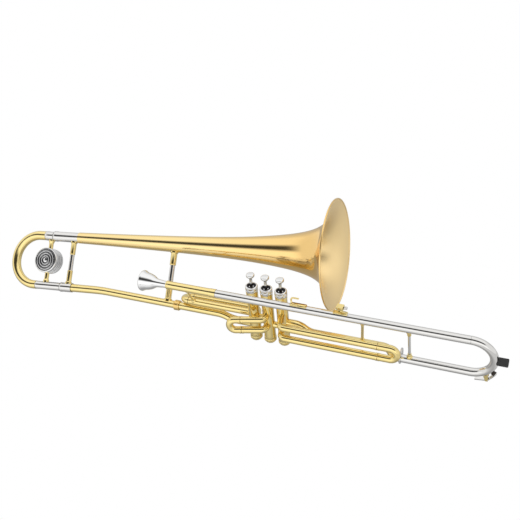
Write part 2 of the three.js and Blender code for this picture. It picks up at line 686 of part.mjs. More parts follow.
for (const valve of VALVES) {
  const { number, x } = valve;
  const centre = vec(x, 0, 0);
  const casing = turned([
    [CASING_BORE, CASING_BOTTOM],
    [CASING_RADIUS, CASING_BOTTOM],
    [CASING_RADIUS, CASING_TOP],
    [CASING_BORE, CASING_TOP],
  ], centre, Z);
  const drills = valve.ports.map(([side, height, bore]) => passage(x, height, side, bore));
  piece(`casing_${number}`, cut(casing, ...drills), BRASS);

  const capBase = CASING_TOP + SEAT;
  const capTop = capBase + TOP_CAP_HEIGHT;
  const deck = capTop - FELT_HEIGHT - SEAT;
  piece(`top_cap_${number}`, turned([
    [CASING_BORE, capBase],
    [CAP_RADIUS, capBase],
    [CAP_RADIUS, capBase + 4],
    [CAP_RADIUS - 0.6, capBase + 4.8],
    [CAP_RADIUS, capTop - 2],
    [CAP_RADIUS - 1.6, capTop],
    [FELT_OUTER + SEAT, capTop],
    [FELT_OUTER + SEAT, deck],
    [STEM_HOLE, deck],
    [STEM_HOLE, deck - 2.4],
    [CASING_BORE, deck - 2.4],
  ], centre, Z, 18), SILVER);

  piece(`felt_${number}`, turned([
    [FELT_INNER, deck + SEAT],
    [FELT_OUTER, deck + SEAT],
    [FELT_OUTER, deck + SEAT + FELT_HEIGHT],
    [FELT_INNER, deck + SEAT + FELT_HEIGHT],
  ], centre, Z, 16), FELT);

  const cupTop = CASING_BOTTOM - SEAT;
  const cupEnd = cupTop - BOTTOM_CAP_DEPTH;
  piece(`bottom_cap_${number}`, turned([
    [CASING_BORE, cupTop],
    [CAP_RADIUS, cupTop],
    [CAP_RADIUS, cupTop - 5.4],
    [CAP_RADIUS - 0.8, cupTop - 6.2],
    [CAP_RADIUS - 1, cupEnd + 3],
    [CAP_RADIUS - 4, cupEnd],
    [0, cupEnd],
    [0, cupEnd + BOTTOM_CAP_FLOOR],
    [CAP_RADIUS - 3.9, cupEnd + BOTTOM_CAP_FLOOR],
    [CASING_BORE, cupEnd + 4],
  ], centre, Z), BRASS);

  const blank = turned([
    [0, PISTON_CHAMBER_TOP],
    [PISTON_CHAMBER_RADIUS, PISTON_CHAMBER_TOP],
    [PISTON_CHAMBER_RADIUS, PISTON_BOTTOM],
    [PISTON_RADIUS, PISTON_BOTTOM],
    [PISTON_RADIUS, PISTON_TOP],
    [0, PISTON_TOP],
  ], centre, Z, 20);
  const ways = pistonWay(x, valve.open[0], valve.open[1], 0);
  for (const [first, second] of valve.pressed) {
    ways.push(...pistonWay(x, first, second, VALVE_STROKE));
  }
  piece(`piston_${number}`, cut(blank, ...ways), NICKEL);

  const buttonTop = BUTTON_BASE + BUTTON_HEIGHT;
  piece(`button_${number}`, turned([
    [0, PISTON_TOP + SEAT],
    [STEM_RADIUS, PISTON_TOP + SEAT],
    [STEM_RADIUS, BUTTON_BASE - 4],
    [3.4, BUTTON_BASE],
    [BUTTON_RADIUS - 1, BUTTON_BASE + 0.4],
    [BUTTON_RADIUS, BUTTON_BASE + 2],
    [BUTTON_RADIUS, buttonTop - 1.8],
    [BUTTON_RADIUS - 1.8, buttonTop],
    [0, buttonTop],
  ], centre, Z, 16), SILVER);

  const coilBottom = cupEnd + BOTTOM_CAP_FLOOR + SEAT + SPRING_WIRE_RADIUS;
  const coilTop = PISTON_CHAMBER_TOP - SEAT - SPRING_WIRE_RADIUS;
  const coil = new TubeRoute(vec(x + SPRING_COIL_RADIUS, 0, coilBottom), Y);
  const stepsAround = 8;
  coil.points = [];
  coil.headings = [];
  coil.sizes = [];
  const rise = (coilTop - coilBottom) / (SPRING_CURLS * stepsAround);
  for (let i = 0; i <= SPRING_CURLS * stepsAround; i += 1) {
    const angle = (i * 2 * Math.PI) / stepsAround;
    const slope = rise / (SPRING_COIL_RADIUS * ((2 * Math.PI) / stepsAround));
    coil.points.push(vec(
      x + SPRING_COIL_RADIUS * Math.cos(angle),
      SPRING_COIL_RADIUS * Math.sin(angle),
      coilBottom + i * rise,
    ));
    coil.headings.push(vec(-Math.sin(angle), Math.cos(angle), slope).normalize());
    coil.sizes.push(1);
  }
  const wire = new THREE.Shape();
  for (let i = 0; i < 5; i += 1) {
    const angle = (i * 2 * Math.PI) / 5;
    const at = [SPRING_WIRE_RADIUS * Math.cos(angle), SPRING_WIRE_RADIUS * Math.sin(angle)];
    if (i === 0) {
      wire.moveTo(...at);
    } else {
      wire.lineTo(...at);
    }
  }
  wire.closePath();
  piece(`spring_${number}`, new THREE.ExtrudeGeometry(wire, {
    steps: coil.points.length - 1,
    extrudePath: coil,
    curveSegments: 1,
  }), STEEL);
  if (number === 1) {
    const gap = rise * stepsAround - 2 * SPRING_WIRE_RADIUS;
    const shut = (coilTop - coilBottom - VALVE_STROKE) / SPRING_CURLS - 2 * SPRING_WIRE_RADIUS;
    console.log(`spring: gap between curls ${gap.toFixed(2)} mm, pressed ${shut.toFixed(2)} mm`);
  }
}

const crossover = (xA, xB, z) => {
  const route = new TubeRoute(vec(xA, 0, z), X).straight(xB - xA);
  const body = tube(route, CROSSOVER_RADIUS, CROSSOVER_BORE);
  return cut(body, casingTool(xA), casingTool(xB));
};
piece('crossover_3_2', crossover(0, VALVE_PITCH, CROSS_3_2), BRASS);
piece('crossover_2_1', crossover(-VALVE_PITCH, 0, CROSS_2_1), BRASS);

// Slides of the three valves
// Movable bow: two inner legs inside the sleeves and a full-size crook with short collars.
function slideBow(legStart, along, across, width, sleeveLength, insert, tipLength) {
  const small = SLIDE_LEG / SLIDE_TUBE;
  const radius = width / 2;
  const collar = tipLength - SLIDE_TUBE - radius - sleeveLength - 0.9;
  const start = legStart.clone().addScaledVector(along, sleeveLength - insert);
  const route = new TubeRoute(start, along, small);
  route.straight(insert + 0.5, small).straight(0.4, 1).straight(collar, 1);
  route.bend(along.clone().cross(across), radius, Math.PI, 9, 1);
  route.straight(collar, 1).straight(0.4, small).straight(insert + 0.5, small);
  const bore = (SLIDE_TUBE * SLIDE_LEG_BORE) / SLIDE_LEG;
  return tube(route, SLIDE_TUBE, bore, TUBE_SIDES, BORE_SIDES);
}

// slide 1, towards the mouthpiece
const slide1A = new TubeRoute(vec(-VALVE_PITCH - 5, SLIDE_1_UPPER.y, SLIDE_1_UPPER.z), left);
slide1A.straight(slide1A.end.x - SLIDE_1_SLEEVE_END);
piece('slide_1_upper', cut(tube(slide1A, SLIDE_TUBE, SLIDE_BORE), casingTool(-VALVE_PITCH)), BRASS);
const slide1B = new TubeRoute(vec(-VALVE_PITCH, 5, SLIDE_1_LOWER.z), Y);
slide1B.straight(SLIDE_1_LOWER.y - SLIDE_ELBOW - 5);
slide1B.bend(Z, SLIDE_ELBOW, Math.PI / 2, 5);
slide1B.straight(slide1B.end.x - SLIDE_1_SLEEVE_END);
piece('slide_1_lower', cut(tube(slide1B, SLIDE_TUBE, SLIDE_BORE), casingTool(-VALVE_PITCH)), BRASS);
const across1 = SLIDE_1_LOWER.clone().sub(SLIDE_1_UPPER);
piece('slide_1_bow', slideBow(
  vec(SLIDE_1_UPPER.x, SLIDE_1_UPPER.y, SLIDE_1_UPPER.z),
  left,
  across1.clone().normalize(),
  across1.length(),
  SLIDE_1_UPPER.x - SLIDE_1_SLEEVE_END,
  SLIDE_1_INSERT,
  SLIDE_1_UPPER.x - SLIDE_1_TIP,
), BRASS);

// slide 2, short and splayed to the player's side
const splay = SLIDE_2_SPLAY * DEGREE;
const slide2Along = vec(-Math.cos(splay), -Math.sin(splay), 0);
const slide2Route = (z) => {
  const route = new TubeRoute(vec(0, -5, z), front);
  route.straight(-5 - SLIDE_2_KNUCKLE_END);
  route.bend(Z.clone().negate(), SLIDE_ELBOW, Math.PI / 2 - splay, 4);
  return route;
};
const slide2A = slide2Route(SLIDE_2_UPPER);
const slide2Start = slide2A.end.clone();
slide2A.straight(SLIDE_2_SLEEVE);
piece('slide_2_upper', cut(tube(slide2A, SLIDE_TUBE, SLIDE_BORE), casingTool(0)), BRASS);
const slide2B = slide2Route(SLIDE_2_LOWER).straight(SLIDE_2_SLEEVE);
piece('slide_2_lower', cut(tube(slide2B, SLIDE_TUBE, SLIDE_BORE), casingTool(0)), BRASS);
piece('slide_2_bow', slideBow(
  slide2Start,
  slide2Along,
  Z.clone().negate(),
  SLIDE_2_UPPER - SLIDE_2_LOWER,
  SLIDE_2_SLEEVE,
  SLIDE_2_INSERT,
  SLIDE_2_LENGTH,
), BRASS);

// slide 3, long, towards the front bow
const slide3Route = (z) => {
  const route = new TubeRoute(vec(VALVE_PITCH, 0, z).addScaledVector(slantSide, 5), slantSide);
  const turn = Math.PI / 2 - SLIDE_3_SLANT * DEGREE;
  const drop = SLIDE_ELBOW * (1 - Math.cos(turn));
  route.straight((-SLIDE_3_FRONT - drop) / Math.cos(SLIDE_3_SLANT * DEGREE) - 5);
  route.bend(Z, SLIDE_ELBOW, turn, 4);
  return route;
};
const slide3A = slide3Route(SLIDE_3_UPPER);
const slide3Start = slide3A.end.clone();
slide3A.straight(SLIDE_3_SLEEVE_END - slide3Start.x);
piece('slide_3_upper', cut(tube(slide3A, SLIDE_TUBE, SLIDE_BORE), casingTool(VALVE_PITCH)), BRASS);
const slide3B = slide3Route(SLIDE_3_LOWER);
slide3B.straight(SLIDE_3_SLEEVE_END - slide3Start.x);
piece('slide_3_lower', cut(tube(slide3B, SLIDE_TUBE, SLIDE_BORE), casingTool(VALVE_PITCH)), BRASS);
piece('slide_3_bow', slideBow(
  slide3Start,
  X,
  Z.clone().negate(),
  SLIDE_3_UPPER - SLIDE_3_LOWER,
  SLIDE_3_SLEEVE_END - slide3Start.x,
  SLIDE_3_INSERT,
  SLIDE_3_TIP - slide3Start.x,
), BRASS);

// Exit tube, gold return tube and front bow
const exitRoute = new TubeRoute(vec(EXIT_JOINT, exitAxis.y, exitAxis.z), X);
exitRoute.straight(EXIT_STRAIGHT_END - EXIT_JOINT);
exitRoute.shift(vec(0, -exitAxis.y, EXIT_PORT - exitAxis.z), EXIT_DROP_LENGTH, 2);
exitRoute.straight(-VALVE_PITCH - 4 - exitRoute.end.x);
piece('exit_tube', cut(
  tube(exitRoute, EXIT_RADIUS, EXIT_RADIUS - LEAD_WALL, TUBE_SIDES, BORE_SIDES),
  casingTool(-VALVE_PITCH),
), BRASS);

const goldRoute = new TubeRoute(vec(VALVE_PITCH + 4, 0, RETURN_PORT), X);
goldRoute.straight(GOLD_DROP_START - goldRoute.end.x);
goldRoute.shift(vec(0, 0, GOLD_RETURN_Z - RETURN_PORT), GOLD_DROP_LENGTH, 3);
goldRoute.straight(GOLD_STRAIGHT_END - goldRoute.end.x);
goldRoute.shift(vec(0, RETURN_Y, RETURN_Z - GOLD_RETURN_Z), GOLD_ASIDE_LENGTH, 4);
piece('return_tube', cut(
  tube(goldRoute, RETURN_RADIUS, RETURN_RADIUS - LEAD_WALL, TUBE_SIDES, BORE_SIDES),
  casingTool(VALVE_PITCH),
), BRASS);

const bowSpan = vec(0, LEAD_Y - RETURN_Y, LEAD_Z - RETURN_Z);
const bowUp = bowSpan.clone().normalize();
const bowRadius = bowSpan.length() / 2;
const bowCentre = vec(BOW_X, (LEAD_Y + RETURN_Y) / 2, (LEAD_Z + RETURN_Z) / 2);
const bowSide = X.clone().cross(bowUp);
const bowRoute = () => {
  const route = new TubeRoute(vec(RETURN_START, RETURN_Y, RETURN_Z), X);
  route.straight(BOW_X - RETURN_START);
  route.bend(bowSide, bowRadius, Math.PI, 12);
  return route;
};

const flangeShape = new THREE.Shape();
flangeShape.absarc(0, 0, FLANGE_RADIUS, 0, Math.PI * 2, false);
const flangeHole = new THREE.Path();
flangeHole.absarc(-1.5, -4, RETURN_RADIUS + SEAT, 0, Math.PI * 2, true);
flangeShape.holes.push(flangeHole);
const flange = new THREE.ExtrudeGeometry(flangeShape, {
  depth: FLANGE_THICKNESS,
  bevelEnabled: false,
  curveSegments: 10,
});
flange.applyMatrix4(new THREE.Matrix4().makeBasis(Y, Z, X));
flange.translate(RETURN_START + 0.2, RETURN_Y + 1.5, RETURN_Z + 4);
piece('return_flange', flange, NICKEL);

// Lead pipe and bumper
const leadFront = new TubeRoute(leadAt(BOW_X - SEAT), left, LEAD_FRONT_RADIUS / LEAD_RADIUS);
leadFront.straight(BOW_X - SEAT, LEAD_FRONT_RADIUS / LEAD_RADIUS).straight(-LEAD_JOINT, 1);
piece('lead_pipe_front', tube(leadFront, LEAD_RADIUS, LEAD_RADIUS - LEAD_WALL), NICKEL);
piece('lead_pipe_rear', turned([
  [LEAD_REAR_BORE, RECEIVER_MOUTH],
  [LEAD_REAR_RADIUS + 0.5, RECEIVER_MOUTH],
  [LEAD_REAR_RADIUS + 0.5, RECEIVER_MOUTH + 3.5],
  [LEAD_REAR_RADIUS, RECEIVER_MOUTH + 4.2],
  [LEAD_REAR_RADIUS, LEAD_JOINT - 12.5],
  [LEAD_REAR_RADIUS + 0.5, LEAD_JOINT - 12],
  [LEAD_REAR_RADIUS + 0.5, LEAD_JOINT - SEAT],
  [LEAD_REAR_BORE, LEAD_JOINT - SEAT],
], leadAt(0), X, 16), BRASS);

const fatBow = new TubeRoute(vec(BOW_X - 30, RETURN_Y, RETURN_Z), X);
fatBow.straight(30).bend(bowSide, bowRadius, Math.PI, 28).straight(30);
const fatBowTool = () => tube(fatBow, RETURN_RADIUS + SEAT, 0, 24);
const bumperStart = BOW_X + bowRadius + 4;
piece('bumper', cut(turned([
  [0, bumperStart],
  [BUMPER_RADIUS - 0.4, bumperStart],
  [BUMPER_RADIUS, bumperStart + 3],
  [BUMPER_RADIUS, BUMPER_END - 1],
  [BUMPER_RADIUS - 1, BUMPER_END],
  [0, BUMPER_END],
], vec(0, bowCentre.y, bowCentre.z), X, 20), fatBowTool()), RUBBER);

// Water key
// points in the plane of the bow: u forward and v up from its centre
function inBow(u, v, side = 0) {
  return bowCentre.clone()
    .addScaledVector(X, u)
    .addScaledVector(bowUp, v)
    .addScaledVector(bowSide, side);
}

const keyAngle = -39 * DEGREE;
const keyRay = [Math.cos(keyAngle), Math.sin(keyAngle)];
const keyOut = X.clone().multiplyScalar(keyRay[0]).addScaledVector(bowUp, keyRay[1]);
const surface = bowRadius + RETURN_RADIUS;
const nippleTop = surface + 1.6;
const onRay = (reach) => inBow(keyRay[0] * reach, keyRay[1] * reach);
// the bow carries the nipple of the water key, drilled through to its bore
piece('front_bow', cut(
  joined(
    tube(bowRoute(), RETURN_RADIUS, RETURN_RADIUS - LEAD_WALL, TUBE_SIDES, BORE_SIDES),
    turned([
      [0, surface - 0.6],
      [3.4, surface - 0.6],
      [3.4, nippleTop - 0.4],
      [2.9, nippleTop],
      [0, nippleTop],
    ], bowCentre, keyOut, 12),
  ),
  rodBetween(onRay(surface - 5), onRay(nippleTop + 2), 1.6, 10),
), NICKEL);
piece('water_pad', rodBetween(onRay(nippleTop + SEAT), onRay(nippleTop + 3.2), 3.9, 14), RUBBER);

const PIVOT = [27.8, -44.8];
const leverLine = [
  [keyRay[0] * (nippleTop + 4.6), keyRay[1] * (nippleTop + 4.6)],
  [36.9, -37.6],
  [PIVOT[0] + 2.6, PIVOT[1] - 1.9],
  [PIVOT[0] - 5, -49.2],
  [16, -50.2],
  [8.5, -51.2],
];
function leverShape(line, half) {
  const upper = [];
  const lower = [];
  line.forEach(([u, v], i) => {
    const before = line[Math.max(0, i - 1)];
    const after = line[Math.min(line.length - 1, i + 1)];
    const dir = new THREE.Vector2(after[0] - before[0], after[1] - before[1]).normalize();
    upper.push(new THREE.Vector2(u - dir.y * half, v + dir.x * half));
    lower.push(new THREE.Vector2(u + dir.y * half, v - dir.x * half));
  });
  return new THREE.Shape([...upper, ...lower.reverse()]);
}
function inBowPlane(geometry) {
  geometry.applyMatrix4(new THREE.Matrix4().makeBasis(X, bowUp, bowSide));
  geometry.translate(bowCentre.x, bowCentre.y, bowCentre.z);
  return geometry;
}
const leverPlate = new THREE.ExtrudeGeometry(leverShape(leverLine, 1.1), {
  depth: 5,
  bevelEnabled: false,
});
leverPlate.translate(0, 0, -2.5);
const cupBack = rodBetween(onRay(nippleTop + 3.5), onRay(nippleTop + 5.3), 4.5, 14);
const barrel = rodBetween(inBow(PIVOT[0], PIVOT[1], -4.2), inBow(PIVOT[0], PIVOT[1], 4.2), 2.1, 12);
piece('water_key', joined(inBowPlane(leverPlate), cupBack, barrel), NICKEL);

const lug = new THREE.Shape([
  new THREE.Vector2(PIVOT[0] - 2.2, PIVOT[1] - 2),
  new THREE.Vector2(PIVOT[0] + 2.2, PIVOT[1] - 2),
  new THREE.Vector2(PIVOT[0] + 2.6, PIVOT[1] + 6),
  new THREE.Vector2(PIVOT[0] + 0.5, PIVOT[1] + 14),
  new THREE.Vector2(PIVOT[0] - 5.5, PIVOT[1] + 10),
  new THREE.Vector2(PIVOT[0] - 3.4, PIVOT[1] + 4),
]);
const lugPlate = (side) => {
  const plate = new THREE.ExtrudeGeometry(lug, { depth: 1.6, bevelEnabled: false });
  plate.translate(0, 0, side);
  return inBowPlane(plate);
};
const lugFoot = rodBetween(
  inBow(PIVOT[0] - 3.2, PIVOT[1] + 10, -6.1),
  inBow(PIVOT[0] - 3.2, PIVOT[1] + 10, 6.1),
  3,
  12,
);
piece('water_key_saddle', cut(joined(lugPlate(-6.1), lugPlate(4.5), lugFoot), fatBowTool()), BRASS);

// Finger hook and lyre holder on the lead pipe
function saddlePlate(fromX, toX, topRise, half, slope) {
  const outline = new THREE.Shape([
    new THREE.Vector2(fromX, LEAD_Z + 3),
    new THREE.Vector2(toX, LEAD_Z + 3),
    new THREE.Vector2(toX, LEAD_Z + LEAD_RADIUS + topRise - 0.6),
    new THREE.Vector2(toX - slope, LEAD_Z + LEAD_RADIUS + topRise),
    new THREE.Vector2(fromX + slope, LEAD_Z + LEAD_RADIUS + topRise),
    new THREE.Vector2(fromX, LEAD_Z + LEAD_RADIUS + topRise - 0.6),
  ]);
  const plate = new THREE.ExtrudeGeometry(outline, { depth: half * 2, bevelEnabled: false });
  plate.translate(0, 0, -half);
  plate.applyMatrix4(new THREE.Matrix4().makeBasis(X, Z, Y.clone().negate()));
  plate.translate(0, LEAD_Y, 0);
  return plate;
}

const HOOK_X = 59;
const HOOK_PLATE_START = HOOK_X - 2;
const HOOK_PLATE_END = HOOK_X + 27;
const hookTop = LEAD_Z + LEAD_RADIUS + 1;
const hookRoute = new TubeRoute(vec(HOOK_X, LEAD_Y, hookTop - 1.5), Z);
hookRoute.straight(9.5).bend(Y, 4.5, Math.PI / 2, 6).straight(7.5).bend(Y, 3, 40 * DEGREE, 3);
piece('finger_hook', cut(
  joined(saddlePlate(HOOK_PLATE_START, HOOK_PLATE_END, 1.2, 4, 2), tube(hookRoute, 1.5, 0, 12)),
  pipeTool(leadAt(HOOK_X + 12), X, LEAD_FRONT_RADIUS + 0.05, 60),
), BRASS);

const LYRE_X = 146;
const box = (from, to) => {
  const size = to.clone().sub(from);
  const solid = new THREE.BoxGeometry(size.x, size.y, size.z);
  solid.translate(from.x + size.x / 2, from.y + size.y / 2, from.z + size.z / 2);
  return solid;
};
const lyreBase = LEAD_Z + LEAD_RADIUS;
piece('lyre_holder', cut(
  joined(
    saddlePlate(LYRE_X - 12, LYRE_X + 12, 1.4, 4, 5),
    box(vec(LYRE_X - 3, LEAD_Y - 3, lyreBase), vec(LYRE_X + 3, LEAD_Y + 3, lyreBase + 9)),
    box(vec(LYRE_X - 6, LEAD_Y - 5, lyreBase + 7.5), vec(LYRE_X + 6, LEAD_Y + 5, lyreBase + 14.5)),
  ),
  pipeTool(leadAt(LYRE_X), X, LEAD_FRONT_RADIUS + 0.05, 60),
  box(vec(LYRE_X - 2.6, LEAD_Y - 9, lyreBase + 10), vec(LYRE_X + 2.2, LEAD_Y + 9, lyreBase + 12.6)),
  rodBetween(
    vec(LYRE_X, LEAD_Y, lyreBase + 11.3),
    vec(LYRE_X + 20, LEAD_Y, lyreBase + 11.3),
    1.7,
    12,
  ),
), BRASS);
piece('lyre_screw', turned([
  [0, LYRE_X + 2.6],
  [1.35, LYRE_X + 2.6],
  [1.35, LYRE_X + 6.8],
  [2.7, LYRE_X + 7],
  [2.9, LYRE_X + 7.6],
  [2.9, LYRE_X + 11.2],
  [2.4, LYRE_X + 12],
  [0, LYRE_X + 12],
], vec(0, LEAD_Y, lyreBase + 11.3), X, 12), NICKEL);

// Mouthpiece
piece('mouthpiece', turned([
  [12.8, 2.2],
  [13.8, 0.6],
  [15.2, 0],
  [16.8, 0],
  [18.6, 0.9],
  [RIM_RADIUS, 3],
  [17.6, 7],
  [16.4, 10],
  [15, 17],
  [12.3, 24.5],
  [8.4, 31],
  [7.4, 38],
  [6.5, 46],
  [5.7, MOUTHPIECE_LENGTH],
  [4.7, MOUTHPIECE_LENGTH],
  [3.4, 40],
  [3.3, 31],
  [4.4, 27],
  [8.6, 22],
  [11.3, 15],
  [12.4, 8],
], vec(RIM_X, LEAD_Y, LEAD_Z), X, 20), SILVER);

let triangles = 0;
trombone.traverse((child) => {
  if (child.isMesh) {
    triangles += child.geometry.attributes.position.count / 3;
  }
});
console.log(`${trombone.children.length} pieces, ${triangles} triangles`);

export default trombone;
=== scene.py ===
"""Valve trombone in polished brass and nickel, dressed over its solid model on a white floor."""

import math

import bpy
from bpy.props import FloatProperty, FloatVectorProperty, PointerProperty
from mathutils import Matrix, Vector


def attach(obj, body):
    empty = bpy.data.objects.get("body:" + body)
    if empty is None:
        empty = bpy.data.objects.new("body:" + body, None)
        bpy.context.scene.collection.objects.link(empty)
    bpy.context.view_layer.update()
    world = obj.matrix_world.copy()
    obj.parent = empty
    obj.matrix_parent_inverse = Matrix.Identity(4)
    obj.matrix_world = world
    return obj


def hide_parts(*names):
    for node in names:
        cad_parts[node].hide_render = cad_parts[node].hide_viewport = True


bl_info = {
    "name": "Valve trombone",
    "version": (1, 0, 0),
    "blender": (4, 5, 0),
    "location": "3D View > Sidebar > Trombone",
    "description": "Models and finishes a valve trombone round its solid frame",
    "category": "Object",
}

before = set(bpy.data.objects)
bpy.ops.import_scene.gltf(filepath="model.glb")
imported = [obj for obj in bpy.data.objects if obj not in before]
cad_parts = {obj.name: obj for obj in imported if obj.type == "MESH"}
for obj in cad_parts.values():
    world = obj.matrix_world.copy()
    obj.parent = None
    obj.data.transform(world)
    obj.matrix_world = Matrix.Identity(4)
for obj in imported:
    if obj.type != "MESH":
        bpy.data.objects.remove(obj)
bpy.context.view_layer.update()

MM = 0.001
X = Vector((1, 0, 0))
Y = Vector((0, 1, 0))
Z = Vector((0, 0, 1))


def mm(x, y, z):
    """A point given in millimetres, in metres."""
    return Vector((x, y, z)) * MM


# Sizes in millimetres. Axes and places are those of the solid model
VALVE_PITCH = 27.8
CASING_RADIUS = 10.5
CASING_BORE = 9.1
CASING_TOP = 50.5
CASING_BOTTOM = -47.5
PORT_DEPTH = 8.0
PORT_OVERLAP = 0.05
CAP_RADIUS = 11.3
CAP_BASE = 50.8
CAP_TOP = 62.0
CAP_DECK = 59.9
CAP_DECK_THICKNESS = 2.4
CUP_TOP = -47.8
CUP_END = -59.0
CUP_FLOOR = 1.8
STEM_HOLE = 3.2
STEM_RADIUS = 2.7
FELT_INNER = 5.2
FELT_OUTER = 8.4
BUTTON_BASE = 80.6
BUTTON_TOP = 86.6
BUTTON_RADIUS = 7.5
PISTON_TOP = 44.0
RETURN_PORT = -7.6
CROSS_3_2 = -18.0
CROSS_2_1 = -6.0
CROSS_RADIUS = 6.0
CROSS_START = 9.5
EXIT_PORT = -24.0

SLIDE_TUBE = 6.5
SLIDE_WALL = 0.6
SLIDE_LEG = 5.35
SLIDE_ELBOW = 9.5
SLEEVE_RING = 3.4
SLIDE_1_UPPER = (0.0, 0.5)
SLIDE_1_LOWER = (23.0, -8.5)
SLIDE_1_START = -38.0
SLIDE_1_SLEEVE_END = -160.0
SLIDE_1_TIP = -181.0
SLIDE_1_INSERT = 46.0
SLIDE_2_UPPER = 6.9
SLIDE_2_LOWER = -15.7
SLIDE_2_SPLAY = math.radians(16.2)
SLIDE_2_KNUCKLE_END = -14.7
SLIDE_2_SLEEVE = 34.0
SLIDE_2_LENGTH = 62.0
SLIDE_2_INSERT = 26.0
SLIDE_3_FRONT = -39.0
SLIDE_3_UPPER = 12.0
SLIDE_3_LOWER = -11.1
SLIDE_3_SLANT = math.radians(15)
SLIDE_3_SLEEVE_END = 212.0
SLIDE_3_TIP = 251.0
SLIDE_3_INSERT = 70.0

JOINT_GAP = 0.3
TUBE_WALL = 0.8
LEAD_Y = -29.8
LEAD_Z = 53.6
LEAD_REAR_RADIUS = 7.3
LEAD_REAR_BORE = 6.6
LEAD_RADIUS = 7.2
LEAD_FRONT_RADIUS = 7.1
RECEIVER_MOUTH = -182.7
LEAD_JOINT = -84.0
BOW_X = 361.2
BOW_LEG = 20.0
RETURN_Y = -20.0
RETURN_Z = -20.8
RETURN_START = 245.7
RETURN_RADIUS = 7.1
GOLD_RETURN_Z = -20.4
GOLD_DROP_START = 50.0
GOLD_DROP_LENGTH = 36.0
GOLD_STRAIGHT_END = 209.4
GOLD_ASIDE_LENGTH = 36.0
BUMPER_RADIUS = 7.1
BUMPER_END = 420.5

EXIT_Y = 2.16
EXIT_Z = -18.19
EXIT_RADIUS = 7.2
EXIT_JOINT = -188.5
EXIT_STRAIGHT_END = -104.0
EXIT_DROP_LENGTH = 40.0
NUT_START = -194.0
NUT_END = -183.0
NUT_RADIUS = 9.85
NUT_PLAY = 0.45
NUT_RIBS = 4
GOOSENECK_CORNER = -359.0
GOOSENECK_BEND = 400.0
GOOSENECK_RADIUS = 7.9
NECK_AT_BEND = 7.7
NECK_AFTER_BEND = 7.4
NECK_STRAIGHT_END = -293.0

BELL_ORIGIN = mm(0, 91.6, 80)
BELL_TILT = math.radians(42.34)
BELL_ANGLE = math.radians(4.9)
BELL_WALL = 0.9
BELL_BEAD = 1.48
# Outside of the bell from the tail to the edge of the flare: along and radius
BELL_OUTLINE = (
    (-435, 11.0), (-343, 12.7), (-254, 14.9), (-190, 16.9), (-127, 19.4), (-75, 22.7),
    (-40, 25.9), (-8, 29.7), (20, 34.1), (44, 39.7), (62, 46.4), (76, 55.4), (85, 65.7),
    (91.5, 78.5), (95, 89.8), (97.3, 99.6),
)
CROOK_CENTRE = -527.7
CROOK_RADIUS = 50.85
CROOK_UPPER_TUBE = 9.2
CROOK_LOWER_TUBE = 8.5
TUNING_WALL = 0.9
UPPER_FERRULE_START = -513.0
UPPER_FERRULE_RADIUS = 9.5
UPPER_SLEEVE_START = -493.6
UPPER_SLEEVE_END = -435.3
UPPER_SLEEVE_RADIUS = 10.1
UPPER_SLEEVE_BORE = 9.2
UPPER_LEG = 8.8
UPPER_LEG_END = -437.0
LOWER_LEG_START = -520.6
LOWER_LEG = 8.1
LOWER_SLEEVE_START = -462.0
LOWER_SLEEVE_END = -436.0
LOWER_SLEEVE_RADIUS = 9.3
LOWER_SLEEVE_BORE = 8.5
WEIGHT_X = -500.0
WEIGHT_RADIUS = 25.4
WEIGHT_THICKNESS = 27.0
WEIGHT_CORNER = 2.0
WEIGHT_GROOVES = (-6.5, -1.0, 4.5)
WEIGHT_FACE = 22.0
WEIGHT_RINGS = ((20.3, 17.1), (15.1, 12.0), (10.0, 7.0))
WEIGHT_STUB = 4.4
WEIGHT_FOOT = 5.9

REAR_BRACE = -446.5
BELL_BRACE = -220.0
BELL_AT_BRACE = 15.9
FRONT_BRACE = 262.0
MIDDLE_BRACE = 184.0
LEAD_BRACE = -146.0
BRACE_ROD = 2.4
LEAD_BRACE_ROD = 1.9
REAR_BRACE_ROD = 4.4
BELL_BRACE_ROD = 4.9
BRACE_SOCKET = 3.4
REAR_BRACE_SOCKET = 5.2
BELL_BRACE_SOCKET = 6.0
BRACE_REACH = 8.5
STRONG_BRACE_REACH = 25.0

# Mouthpiece by the distance from its rim: along and radius, and the rim as radius and along
RIM_X = -234.5
MOUTHPIECE_RIM = (
    (12.95, 1.4), (13.4, 0.7), (14.2, 0.2), (15.4, 0), (16.6, 0), (17.7, 0.4), (18.6, 1.1),
    (19.1, 2.1), (19.3, 3.4), (19.1, 4.7), (18.6, 5.8),
)
MOUTHPIECE_BODY = (
    (7, 17.6), (10, 16.4), (17, 15), (24.5, 12.3), (31, 8.4), (38, 7.3), (46, 6.5),
)
MOUTHPIECE_CUP = (
    (40, 3.4), (31, 3.3), (27, 4.4), (22, 8.6), (15, 11.3), (8, 12.4), (2.2, 12.8),
)
SHANK_END = 80.0
SHANK_RADIUS = 5.7
SHANK_BORE = 4.7

# Directions of the bell plane
BELL_UP = Vector((0, math.sin(BELL_TILT), math.cos(BELL_TILT)))
BELL_ALONG = X * math.cos(BELL_ANGLE) + BELL_UP * math.sin(BELL_ANGLE)
BELL_NORMAL = BELL_UP * math.cos(BELL_ANGLE) - X * math.sin(BELL_ANGLE)
BELL_BACK = BELL_NORMAL.cross(BELL_ALONG)
LOWER_UP = -2 * CROOK_RADIUS

# Directions of the front bow's plane
BOW_SPAN = mm(0, LEAD_Y - RETURN_Y, LEAD_Z - RETURN_Z)
BOW_UP = BOW_SPAN.normalized()
BOW_RADIUS = BOW_SPAN.length / 2 / MM
BOW_CENTRE = mm(BOW_X, (LEAD_Y + RETURN_Y) / 2, (LEAD_Z + RETURN_Z) / 2)
BOW_SIDE = X.cross(BOW_UP)

